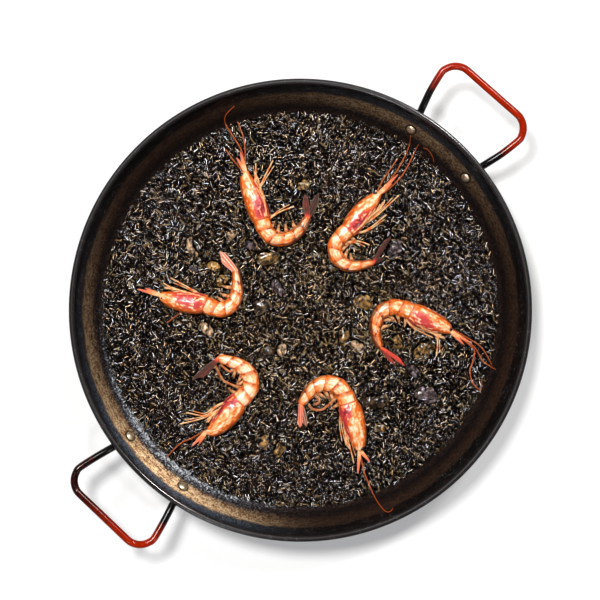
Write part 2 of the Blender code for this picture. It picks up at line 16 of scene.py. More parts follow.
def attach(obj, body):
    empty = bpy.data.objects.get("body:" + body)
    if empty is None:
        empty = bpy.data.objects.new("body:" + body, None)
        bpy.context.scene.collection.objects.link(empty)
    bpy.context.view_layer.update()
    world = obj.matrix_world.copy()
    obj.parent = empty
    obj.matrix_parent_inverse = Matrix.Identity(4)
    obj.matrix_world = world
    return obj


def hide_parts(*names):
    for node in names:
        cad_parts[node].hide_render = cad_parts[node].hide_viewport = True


bl_info = {
    "name": "Squid ink rice pan",
    "version": (1, 0, 0),
    "blender": (4, 5, 0),
    "location": "3D View > Sidebar > Rice pan",
    "description": "Builds a pan of squid ink rice with prawns and cuttlefish, piece by piece",
    "category": "Object",
}

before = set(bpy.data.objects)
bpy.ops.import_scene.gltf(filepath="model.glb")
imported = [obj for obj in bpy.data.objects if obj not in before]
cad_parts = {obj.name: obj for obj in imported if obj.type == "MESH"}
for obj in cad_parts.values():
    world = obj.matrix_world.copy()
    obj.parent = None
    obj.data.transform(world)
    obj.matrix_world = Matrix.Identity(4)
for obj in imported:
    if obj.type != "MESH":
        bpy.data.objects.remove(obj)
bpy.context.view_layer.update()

METRES = 0.001
UP = np.array((0.0, 0.0, 1.0))
GAP = 0.3                   # air between neighbouring pieces
CAMERA_TURN = 47.5          # degrees from the view's right side round to the pan's +X
CAMERA_X, CAMERA_Y = 7.14, 7.16

# ---- the pan, as the solids have it --------------------------------------------------------------
WALL_ANGLE = 54.0           # degrees above the horizontal
WALL_TOP_RADIUS, WALL_TOP_LEVEL = 224.5, 45.0
BASE_FILLET, SHEET = 13.0, 1.5
BASE_RINGS = (60.0, 120.0, 170.0)
BEAD_START, BEAD_TURN = -113.6, 330.9   # degrees round the rolled rim's bead
PAN_FACETS = 256
ROD_DIAMETER, ROD_SIDES = 7.5, 24
HANDLE_TURN = 1.1           # degrees that each handle sits off the pan's middle line
HANDLE_REACH = {"handle_a": 287.5, "handle_b": 282.7}
HANDLE_BAR_LEVEL = 50.0
HANDLE_CORNER = 18.0
HANDLE_HALF_SPAN = 51.0
TAB_WIDTH, TAB_THICKNESS = 11.0, 3.0
TAB_OUTLINE = ((-6.2, 0.45, 0.8), (-4.4, 0.85, 1.0), (0.0, 1.0, 1.0), (5.4, 0.95, 1.0))
ROD_ROUND_FROM = 11.0
LEG_PATH = ((229.0, 41.4, -12.0), (236.0, 43.6, -9.6), (250.0, 47.6, -6.8))
CORNER_DROP = 3.6
RIVET_RADIUS_FROM_AXIS = 213.0
RIVET_SPREAD = 9.9
RIVET_HEAD, RIVET_DOME, RIVET_SHANK = 9.5, 2.1, 5.0
RIVET_SINK = 0.25           # how far the inner head stands off the wall, past the gap
RIVET_FACETS = 32

# Where the wall and rim look different: the middle and half spread of each place in degrees round the
# pan, from the view's right side, and how strongly. The first table is a painted highlight on the baked
# film, the second a painted sheen that makes the starch below it pale, and the third where the rolled rim is wiped to
# a gloss.
FILM_HIGHLIGHT = ((230.0, 17.0, 1.0), (206.0, 20.0, 0.16), (252.0, 12.0, 0.2), (180.0, 22.0, 0.07), (60.0, 30.0, 0.13))
STARCH_SHEEN = ((225.0, 34.0, 1.0),)
BEAD_GLOSS = ((228.0, 22.0, 1.0), (52.0, 34.0, 0.8))

# ---- the rice, as the solids have it -------------------------------------------------------------
RICE_LEVEL, RICE_WAVE, GRAIN_BUMP = 14.0, 0.4, 1.2
RICE_EDGE_RADIUS = 200.4
RICE_TOP = RICE_LEVEL + RICE_WAVE + GRAIN_BUMP
BED = 12.6                  # how low the prawns and chunks press into the rice
CORE_DROP, CORE_SIDES = 2.6, 160        # how far the bed of paste lies below the grains
FIRST_GROUND = RICE_LEVEL - 2.9         # what the first grains fall on
GRID_CELL, GRID_CELLS = 0.8, 530        # the grid on which grains are laid
STEEPEST = 0.45             # slope of the most tilted grain
CLINGING = {"pale": 30}     # a chunk's area for each grain that clings to it
CLINGING_ELSE = 17
# A grain's loops of points: the share of its half length, the share of its width, and how far each faces its end.
GRAIN_STATIONS = ((-0.9, 0.62, -0.9), (-0.66, 1.0, 0.0), (0.66, 1.0, 0.0), (0.9, 0.66, 0.9))
GRAIN_SIDES = 4

# ---- the prawns, as the solids have them ---------------------------------------------------------
CARAPACE_SHAPE = ((0.0, 3.2), (0.13, 6.0), (0.32, 8.4), (0.55, 9.8), (0.8, 10.2), (1.0, 9.2))
ABDOMEN_SHAPE = ((0.0, 7.9), (0.2, 7.7), (0.4, 7.4), (0.6, 6.6), (0.8, 5.3), (1.0, 3.5))
MIDDLE_LEVEL = ((0.0, 18.0), (0.3, 19.6), (0.45, 19.8), (0.7, 18.6), (1.0, 17.2))
BODY_FLATNESS = 0.76
SHELL_RINGS, SHELL_SIDES = 6, 40
RING_STATIONS = (0.0, 0.03, 0.09, 0.18, 0.3, 0.42, 0.54, 0.66, 0.76, 0.85, 0.91, 0.96, 1.0)
RING_LAP = ((0.0, 0.95), (0.03, 0.965), (0.12, 0.985), (0.5, 0.99), (0.88, 1.015), (0.96, 1.03), (1.0, 1.02))
SEAM_LEAN = 2.4
FEELER_RADII, LEG_RADII, LONG_SWIMMER_RADII = (0.65, 0.35), (0.85, 0.45), (1.2, 0.5)
FOLDED_LEGS, FOLDED_LEG_LEVEL = 5, 19.0
SWIMMER_LENGTH, SWIMMER_THICKNESS = 11.0, 0.8
SWIMMER_SIZE = ((0.0, 1.9), (0.45, 1.7), (1.0, 0.7))
SWIMMER_PLACES = (0.08, 0.25, 0.42, 0.58, 0.74)
SWIMMER_ROOT_LEVEL, SWIMMER_TIP_LEVEL, SWIMMER_LEAN = 18.4, 16.9, 0.35
FAN_BLADE, FAN_THICKNESS = ((0.0, 2.4), (0.35, 3.6), (0.8, 3.3), (1.0, 1.6)), 0.88
SCALE_BLADE, SCALE_THICKNESS = ((0.0, 2.0), (0.5, 1.6), (1.0, 0.5)), 0.9
LEAF, LEAF_SIDES, STRAND_SIDES = np.linspace(0.0, 1.0, 18), 20, 8      # LEAF holds the shares of a leaf's length
EYE_RADIUS = 2.3

# Where each prawn lies on the plan, nose first. The curl is anticlockwise from nose to tail.
# rouge is the crimson patch of the head: its place along and across it, its length, breadth and strength.
# edge is how red the head's belly edge is, and head how orange its shell is.
# tail is the tint of the fan's two leaves from orange 0 to near black 1, ribs how pale the leaves' edges and
# middles are, fan_width their breadth, and toast how brown and burnt the shell is.
# swimmers is the length of the legs under the abdomen, and trail the way they lie where they lie together.
PRAWNS = {
    "prawn_1": {
        "girth": 1.0, "rouge": (0.78, 0.28, 0.27, 0.66, 1.1), "edge": 0.7, "head": 0.6, "tail": (0.8, 0.95),
        "ribs": 0.12, "fan_width": 0.8, "toast": 0.65, "swimmers": 0.75, "trail": 44.5,
        "carapace": ((66, 136), (60, 129), (51, 111), (42, 93)),
        "abdomen": ((36.5, 83), (35, 72), (40, 62.5), (50, 56.5), (62, 55), (74, 58)),
        "fan": ((89, 75), (99, 66)), "eye": (61, 136), "scales": ((77, 153), (70, 152)),
        "feelers": (((68, 138), (78, 152), (82, 163), (85, 174), (88, 184), (94, 188), (106, 187)),
                    ((68, 138), (87, 157), (98, 176)), ((64, 137), (66, 153), (69, 166))),
        "legs": (((47, 92), (58, 102), (67, 120)), ((44, 86), (58, 83), (73, 76)),
                 ((60, 121), (67, 123), (79, 134)), ((56, 112), (75, 118), (93, 123))),
    },
    "prawn_2": {
        "girth": 0.96, "rouge": (0.74, 0.35, 0.33, 0.62, 1.1), "edge": 0.6, "head": 0.55, "tail": (0.85, 0.92),
        "ribs": 0.08, "fan_width": 0.5, "toast": 0.6, "swimmers": 0.85,
        "carapace": ((141, 21), (132, 21), (114, 21), (95, 19)),
        "abdomen": ((86, 20), (74, 19), (66, 12), (64, 1), (69, -10), (85, -22)),
        "fan": ((117, -17), (97, -27)), "eye": (138, 24), "scales": ((168, 20), (157, 18)),
        "feelers": (((139, 20), (149, 17), (167, 16), (180, 18), (197, 23), (204, 25)),
                    ((138, 21), (160, 22), (178, 25), (197, 31), (205, 37)),
                    ((136, 22), (152, 27), (165, 29), (180, 31))),
        "legs": (((98, 14), (120, 8), (153, 5)), ((93, 13), (106, 5), (130, 1)),
                 ((76, 13), (82, 12), (91, 4), (96, -7))),
    },
    "prawn_3": {
        "girth": 1.02, "rouge": (0.66, 0.1, 0.42, 0.85, 0.85), "edge": 0.8, "head": 0.55, "tail": (0.42, 0.34),
        "ribs": 1.0, "fan_width": 0.85, "toast": 0.6, "swimmers": 0.95, "trail": 117.0,
        "carapace": ((-85, 115), (-81, 105), (-72, 90), (-62, 77)),
        "abdomen": ((-59, 68), (-53, 59), (-42, 55), (-30.5, 59.5), (-22, 67), (-15, 75)),
        "fan": ((-11.5, 100), (-16, 94)), "eye": (-85, 111), "scales": ((-96, 136), (-90, 131)),
        "feelers": (((-60, 84, 27.6), (-68, 86, 27.4), (-80, 87, 22.5), (-90, 89, 17.2), (-101, 91, 16.8)),),
        "legs": (((-56, 80), (-60, 99), (-65, 119)), ((-58, 82), (-69, 102), (-74, 121))),
    },
    "prawn_4": {
        "girth": 1.03, "rouge": (0.66, 0.3, 0.4, 0.75, 0.75), "edge": 0.7, "head": 0.55, "tail": (0.42, 0.62),
        "ribs": 0.12, "fan_width": 0.4, "toast": 0.85, "swimmers": 0.95,
        "carapace": ((87, -127), (85, -116), (79, -99), (75, -86)),
        "abdomen": ((72, -77), (65, -67), (53, -62), (41, -66), (32, -75), (27, -85)),
        "fan": ((30, -116), (24, -108)), "eye": (88, -125), "scales": ((92, -150), (86, -146)),
        "feelers": (((87, -125), (89, -142), (89, -157), (80, -164), (71, -168), (64, -178), (63, -189),
                     (67, -188), (71, -184)),
                    ((88, -125), (91, -142), (91, -157), (87, -171), (88, -181), (89, -186)),
                    ((89, -125), (93, -142), (96, -158), (94, -170), (90, -181))),
        "legs": (((70, -86), (69, -104), (77, -122)), ((67, -79), (64, -96), (70, -118)),
                 ((77, -106), (72, -122), (59, -133))),
    },
    "prawn_5": {
        "girth": 1.08, "rouge": (0.88, 0.32, 0.15, 0.46, 1.0), "edge": 1.1, "head": 0.55, "tail": (0.88, 0.8),
        "ribs": 0.14, "fan_width": 0.65, "toast": 0.12, "swimmers": 0.95,
        "carapace": ((-155, -13), (-148, -17), (-130, -18), (-112, -16)),
        "abdomen": ((-103, -17), (-91, -15), (-83, -5), (-83, 8), (-87, 19), (-92, 28)),
        "fan": ((-126, 33), (-119, 28)), "eye": (-153, -10), "scales": ((-176, -12), (-170, -16)),
        "feelers": (((-153, -12), (-169, -7), (-181, -2), (-192, -1), (-203, -1)),),
        "legs": (((-112, -12), (-128, -4), (-144, -1), (-155, 15)), ((-122, -10), (-146, -2), (-168, 12))),
        "long_swimmers": (((-97, -12), (-102.4, -1), (-105.5, 9), (-103, 18), (-100, 26)),
                          ((-87, 9.5), (-94, 10), (-95.5, 16), (-95.7, 23))),
    },
    "prawn_6": {
        "girth": 1.1, "rouge": (0.84, 0.4, 0.2, 0.5, 1.05), "edge": 0.9, "head": 0.48, "tail": (0.34, 0.75),
        "ribs": 0.55, "fan_width": 0.7, "toast": 0.38, "swimmers": 1.1,
        "carapace": ((-64, -140), (-59, -134), (-48, -118), (-38, -101)),
        "abdomen": ((-33, -91), (-31.5, -80), (-37, -69.5), (-47, -63.5), (-59, -63), (-70, -65)),
        "fan": ((-88, -80), (-83, -84)), "eye": (-61, -141), "scales": ((-83, -155), (-66, -156)),
        "feelers": (((-65, -141), (-77.5, -158.5), (-83, -170), (-88, -181), (-90.5, -190), (-91, -197.5),
                     (-89, -201), (-86, -202), (-83.4, -201.5)),),
        "legs": (((-43, -100), (-58, -116), (-78, -145)), ((-38, -94), (-56, -107), (-70, -127))),
        "long_swimmers": (((-36, -84), (-51, -86), (-60.4, -84), (-65.7, -77.4), (-65.4, -71)),
                          ((-53, -66), (-55.5, -77), (-62, -75))),
    },
}
LOOSE_FEELER, LOOSE_RADII = ((204.7, 19), (206.2, 15), (205.6, 9.3), (204, 4.5), (202, 1.7)), (0.6, 0.5)

# Place on the plan, length, width, the way each chunk points in degrees, and its kind.
CHUNK_THICKNESS = 5.6
CHUNK_RINGS, CHUNK_SIDES = 26, 24
CHUNKS = (
    (-27, 124, 20, 6, -118, "pale"), (-26, 95, 13, 9, -68, "tan"), (-41, 109, 9, 7, -48, "purple"),
    (-32, 80, 12, 9, -2, "tan"), (9, 104, 11, 7, -18, "pale"), (14, 83, 10, 8, -78, "purple"),
    (17, 61, 22, 12, -38, "ochre"), (-23, 32, 17, 14, -18, "dark"), (2, 31, 20, 8, -102, "purple"),
    (50, -41, 18, 14, -58, "ochre"), (110, -28, 19, 12, 14, "purple"), (96, 84, 12, 9, -28, "tan"),
    (9, -50, 17, 9, 38, "ochre"), (13, -67, 13, 9, -78, "pale"), (42, -94, 13, 8, 50, "ochre"),
    (55, -119, 21, 14, -18, "ochre"), (33, -127, 13, 9, -98, "purple"), (24, -152, 21, 15, -62, "purple"),
    (-16, -119, 25, 11, -40, "dark"), (-32, -141, 12, 7, -72, "ochre"), (-55, -3, 14, 11, -22, "dark"),
    (-43, -12, 10, 9, 22, "pale"), (-77, 56, 13, 10, -98, "pale"), (-124, -63, 14, 8, 28, "ochre"),
    (-118, -79, 17, 8, 14, "tan"),
)
CHUNK_BEND, PALE_BEND = 0.14, 0.26

# The stage's lamps: degrees round from the view's right side, degrees up, metres away, metres across, colour.
LAMPS = {
    "key": (128.0, 66.0, 2.6, 0.7, "#FFFEFC"),
    "side": (52.0, 46.0, 2.6, 0.44, "#FFFDFA"),
    "fill": (250.0, 50.0, 2.6, 0.35, "#F8FAFF"),
    "back": (322.0, 42.0, 2.6, 0.3, "#F8FAFF"),
}
FLOOR_HALF, FLOOR_DROP = 4.0, 0.0004    # metres


def linear(code):
    """An sRGB hex colour as linear red, green and blue."""
    parts = [int(code[i:i + 2], 16) / 255 for i in (1, 3, 5)]
    return np.array([c / 12.92 if c <= 0.04045 else ((c + 0.055) / 1.055) ** 2.4 for c in parts])


def colour(name, description, code):
    """A colour setting with a hex default."""
    return FloatVectorProperty(name=name, description=description, subtype="COLOR", size=3,
                               min=0.0, max=1.0, default=tuple(linear(code)))


def size(name, description, default):
    """A length setting in metres."""
    return FloatProperty(name=name, description=description, default=default, min=0.0, unit="LENGTH")


def power(name, description, default):
    """A lamp's power in watts."""
    return FloatProperty(name=name, description=description, default=default, min=0.0, unit="POWER")


# ---- settings ------------------------------------------------------------------------------------
class PanSettings(bpy.types.PropertyGroup):
    """Sizes and colours of the pan, its handles and rivets."""
    rim_diameter: size("Rim diameter", "Over the rolled bead", 0.46)
    height: size("Height", "Underside to the top of the bead", 0.05)
    sheet: size("Sheet", "Thickness of the pressed steel", 0.0015)
    bead_diameter: size("Bead", "Diameter of the rolled rim", 0.006)
    enamel: colour("Enamel", "Black enamel of the pan", "#060505")
    fleck: colour("Fleck", "Pale flecks in the enamel", "#6E6C6C")
    film: colour("Baked film", "Brown oil film baked on the wall", "#22150E")
    # Colour of the painted highlight on the baked film.
    film_highlight: colour("Bright film", "Oil film where it is thin and catches the light", "#D0AE88")
    handle_paint: colour("Handle paint", "Red enamel of the handles", "#861903")
    handle_scorch: colour("Handle scorch", "Burnt enamel of the handles", "#070404")
    rivet_metal: colour("Rivet", "Aluminium of the rivets", "#F0DCBA")


class RiceSettings(bpy.types.PropertyGroup):
    """Sizes, number and colours of the rice grains."""
    grain_length: size("Grain length", "Length of a cooked grain", 0.007)
    grain_width: size("Grain width", "Width of a cooked grain", 0.00185)
    grains: IntProperty(name="Grains", description="How many loose grains lie on the core", default=19000, min=0)
    seed: IntProperty(name="Seed", description="Seed of the grains' places", default=7)
    ink: colour("Ink", "Grains fully dyed by the ink", "#040202")
    brown: colour("Brown", "Grains that took less ink", "#2E2117")
    tan: colour("Tan", "The palest grains", "#8E7648")


class PrawnSettings(bpy.types.PropertyGroup):
    """Colours of the cooked prawns."""
    cream: colour("Cream", "Pale shell of the abdomen", "#F3C6A7")
    orange: colour("Orange", "Cooked shell", "#DA641A")
    deep: colour("Deep orange", "Seams where the rings lap", "#7E2E0A")
    rouge: colour("Crimson", "Patch at the back of the head", "#A82C32")
    leg: colour("Leg", "Walking legs", "#DEB484")
    feeler: colour("Feeler", "Long feelers", "#96441A")
    brick: colour("Brick", "Tail fan where it is red", "#B8342A")
    plum: colour("Plum", "Tail fan where it is darkest", "#2A1412")
    char: colour("Char", "Burnt edges", "#100A08")


class CuttlefishSettings(bpy.types.PropertyGroup):
    """Colours of the cuttlefish chunks by kind."""
    pale: colour("Pale", "Pale flesh", "#94775A")
    tan: colour("Tan", "Tan flesh", "#926E3A")
    ochre: colour("Ochre", "Ochre flesh", "#70522A")
    purple: colour("Purple", "Purple grey skin", "#544648")
    dark: colour("Dark", "Flesh dark with ink", "#382717")
    ink: colour("Ink stain", "Ink in the folds", "#0C0808")


class StageSettings(bpy.types.PropertyGroup):
    """Floor, lights and camera."""
    floor: colour("Floor", "Pale floor", "#C2C2C2")
    glow: FloatProperty(name="Glow", description="How strongly the board is lit from within", default=0.24, min=0.0)
    key: power("Key", "Power of the key light", 90.0)
    side: power("Side", "Power of the low side light", 34.0)
    fill: power("Fill", "Power of the fill light", 14.0)
    back: power("Back", "Power of the back light", 9.0)
    sky: FloatProperty(name="Sky", description="Strength of the even light from all round", default=0.012, min=0.0)
    camera_height: size("Camera height", "Lens above the pan's underside", 1.45)
    lens: FloatProperty(name="Lens", description="Focal length in millimetres", default=84.8)


# ---- lines and skins -----------------------------------------------------------------------------
def smooth_line(points, steps):
    """Points along a smooth line through the given ones."""
    known = np.array(points, float)
    known = np.vstack((2 * known[0] - known[1], known, 2 * known[-1] - known[-2]))
    t = np.arange(steps)[:, None] / steps
    line = [0.5 * (2 * b + (c - a) * t + (2 * a - 5 * b + 4 * c - d) * t ** 2 + (3 * b - a - 3 * c + d) * t ** 3)
            for a, b, c, d in zip(known, known[1:], known[2:], known[3:])]
    return np.vstack(line + [known[-2:-1]])


def flat(points):
    """Points with a level of 0 where they have none."""
    return [(*p, 0.0)[:3] for p in points]


def reached(line):
    """How far along a line each of its points lies."""
    return np.concatenate(([0.0], np.cumsum(np.linalg.norm(np.diff(line, axis=0), axis=1))))


def walk(line, shares):
    """Points at the given shares of a line's length."""
    far = reached(line)
    return np.stack([np.interp(np.asarray(shares) * far[-1], far, column) for column in line.T], axis=-1)


def shape(profile, shares, steps=8):
    """Values of a profile of (share, value) pairs, rounded through its points."""
    return np.interp(shares, *smooth_line(profile, steps).T)


def ease(low, high, value):
    """0 below low, 1 above high, and smooth between."""
    t = np.clip((np.asarray(value, float) - low) / (high - low), 0.0, 1.0)
    return t * t * (3 - 2 * t)


def aimed(degrees):
    """Cosine and sine of an angle in degrees."""
    return math.cos(math.radians(degrees)), math.sin(math.radians(degrees))


def swung(a, b, turn):
    """Two coordinates turned by an angle."""
    c, s = np.cos(turn), np.sin(turn)
    return a * c - b * s, a * s + b * c


def stacked(*columns):
    """Numbers spread to one shape and set side by side, such as the coordinates of points."""
    return np.stack(np.broadcast_arrays(*columns), axis=-1)


def swells(points):
    """Coherent noise at each of many points."""
    return np.reshape([noise.noise(Vector(point)) for point in points.reshape(-1, 3)], points.shape[:-1])


def circle(sides):
    """Cosines and sines of equal steps round a circle."""
    turn = math.tau * np.arange(sides) / sides
    return np.cos(turn), np.sin(turn)


def unit(vectors):
    """Vectors brought to a length of 1."""
    return vectors / np.linalg.norm(vectors, axis=-1, keepdims=True)


def directions(line):
    """Unit directions along, across and on top of a line."""
    along = unit(np.gradient(line, axis=0))
    across = unit(np.cross(UP, along))
    return along, across, np.cross(along, across)


def headings(spine, share):
    """Unit directions along and across a level spine at shares of its length."""
    step = 0.004
    along = unit(walk(spine, np.minimum(share + step, 1.0)) - walk(spine, np.maximum(share - step, 0.0)))
    return along, np.cross(UP, along)


def rings_round(line, widths, heights, sides, boxy=1.0):
    """Rings of points round a line: oval, or squarer where boxy is below 1."""
    _, across, top = directions(line)
    c, s = (np.sign(wave) * np.abs(wave) ** boxy for wave in circle(sides))
    wide = (widths[:, None] * c)[..., None] * across[:, None]
    high = (heights[:, None] * s)[..., None] * top[:, None]
    return line[:, None] + wide + high


def skin(rings):
    """Points and faces of a closed skin over rings of points."""
    count, sides, _ = rings.shape
    index = np.arange(count * sides).reshape(count, sides)
    after = np.roll(index, -1, axis=1)
    quads = np.stack((index[:-1], after[:-1], after[1:], index[1:]), axis=-1).reshape(-1, 4).tolist()
    ends = np.stack((rings[0].mean(0), rings[-1].mean(0)))
    first, last = count * sides, count * sides + 1
    caps = [(first, int(after[0][k]), int(index[0][k])) for k in range(sides)]
    caps += [(last, int(index[-1][k]), int(after[-1][k])) for k in range(sides)]
    return np.vstack((rings.reshape(-1, 3), ends)), quads + caps


def capped(values):
    """Values of a skin's ring points, then those of its two end points."""
    rows = values.reshape(-1, values.shape[-1])
    return np.vstack((rows, rows[:1], rows[-1:]))


def mark(mesh, name, kind, values):
    """Gives each point of a mesh its values."""
    data = mesh.attributes.new(name, kind, "POINT").data
    data.foreach_set("color" if kind == "FLOAT_COLOR" else "vector", values.astype(np.float32).ravel())


class Piece:
    """Gathers the points, faces and marks of one piece and makes its object."""

    def __init__(self):
        self.points, self.faces, self.marks, self.kinds, self.count = [], [], [], [], 0

    def wrap(self, rings, marks, kind=0):
        """Adds a closed skin. Each of its four marks is one number, one for each ring, or one for each point.

        kind is the number of its material.
        """
        points, faces = skin(rings)
        marks = [np.asarray(values, float) for values in marks]
        marks = [values[:, None] if values.ndim == 1 else values for values in marks]
        self.marks.append(capped(stacked(rings[..., 0], *marks)[..., 1:]))
        self.points.append(points)
        self.faces += [tuple(i + self.count for i in face) for face in faces]
        self.kinds += [kind] * len(faces)
        self.count += len(points)
        return self

    def make(self, name, materials, slot, *nodes):
        """The finished object, which stands for the named solids."""
        mesh = shaped(name, np.vstack(self.points), self.faces, np.vstack(self.marks), materials)
        mesh.polygons.foreach_set("material_index", self.kinds)
        return settle(mesh, slot, *nodes)


def shaped(name, points, faces, marks, materials):
    """A smooth mesh of points in millimetres, with their marks."""
    mesh = bpy.data.meshes.new(name)
    mesh.from_pydata(points * METRES, [], faces)
    mesh.shade_smooth()
    mark(mesh, "marks", "FLOAT_COLOR", marks)
    for material in materials:
        mesh.materials.append(material)
    return mesh


def settle(mesh, slot, *nodes):
    """Makes a mesh an object that rides on the one body and stands for the named solids."""
    made = bpy.data.objects.new(mesh.name, mesh)
    bpy.context.scene.collection.objects.link(made)
    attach(made, "root")
    if nodes:
        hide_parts(*nodes)
    return made


# ---- nodes ---------------------------------------------------------------------------------------
def connect(node, inputs):
    """Links each input given as a node or a socket, and sets any other."""
    for name, value in inputs.items() if isinstance(inputs, dict) else enumerate(inputs):
        socket = node.inputs[name]
        if isinstance(value, bpy.types.Node):
            value = next(output for output in value.outputs if output.enabled)
        if isinstance(value, bpy.types.NodeSocket):
            node.id_data.links.new(value, socket)
        else:
            socket.default_value = (*value, 1.0) if socket.type == "RGBA" else value


def add(tree, kind, inputs=(), stops=(), **settings):
    """Adds a node with its settings and links. A stop of a ramp is its place and a colour, or a grey's number."""
    node = tree.nodes.new("ShaderNode" + kind)
    for name, value in settings.items():
        setattr(node, name, value)
    connect(node, inputs)
    for order, (place, shade) in enumerate(stops):
        elements = node.color_ramp.elements
        element = elements[order] if order < 2 else elements.new(place)
        element.position = place
        element.color = (*np.broadcast_to(shade, 3), 1.0)
    return node


def surface(name, **values):
    """A new material, what adds a node to it, its shader with its plain values, and a point's place."""
    made = bpy.data.materials.new(name)
    made.use_nodes = True
    node = partial(add, made.node_tree)
    shader = made.node_tree.nodes["Principled BSDF"]
    connect(shader, {socket.replace("_", " "): value for socket, value in values.items()})
    return made, node, shader, node("TexCoord").outputs["Object"]


def read_marks(node):
    """The four marks of a point."""
    source = node("Attribute", attribute_name="marks")
    return (*node("SeparateColor", [source]).outputs, source.outputs["Alpha"])


def per_metre(millimetres):
    """The scale of a pattern that repeats every so many millimetres."""
    return 1.0 / (millimetres * METRES)


def clouded(name, grain, detail, stops, roughness, relief=None, **values):
    """A material of one noise with a grain in millimetres: its colour, roughness and relief all follow it.

    relief is the bump's strength and its depth in metres.
    """
    made, node, shader, place = surface(name, **values)
    cloud = node("TexNoise", {"Vector": place, "Scale": per_metre(grain), "Detail": detail})
    tone = node("ValToRGB", [cloud], stops)
    rough = node("MapRange", (cloud, 0.0, 1.0, *roughness))
    connect(shader, {"Base Color": tone, "Roughness": rough})
    if relief:
        bump = node("Bump", {"Strength": relief[0], "Distance": relief[1], "Height": cloud})
        connect(shader, {"Normal": bump})
    return made


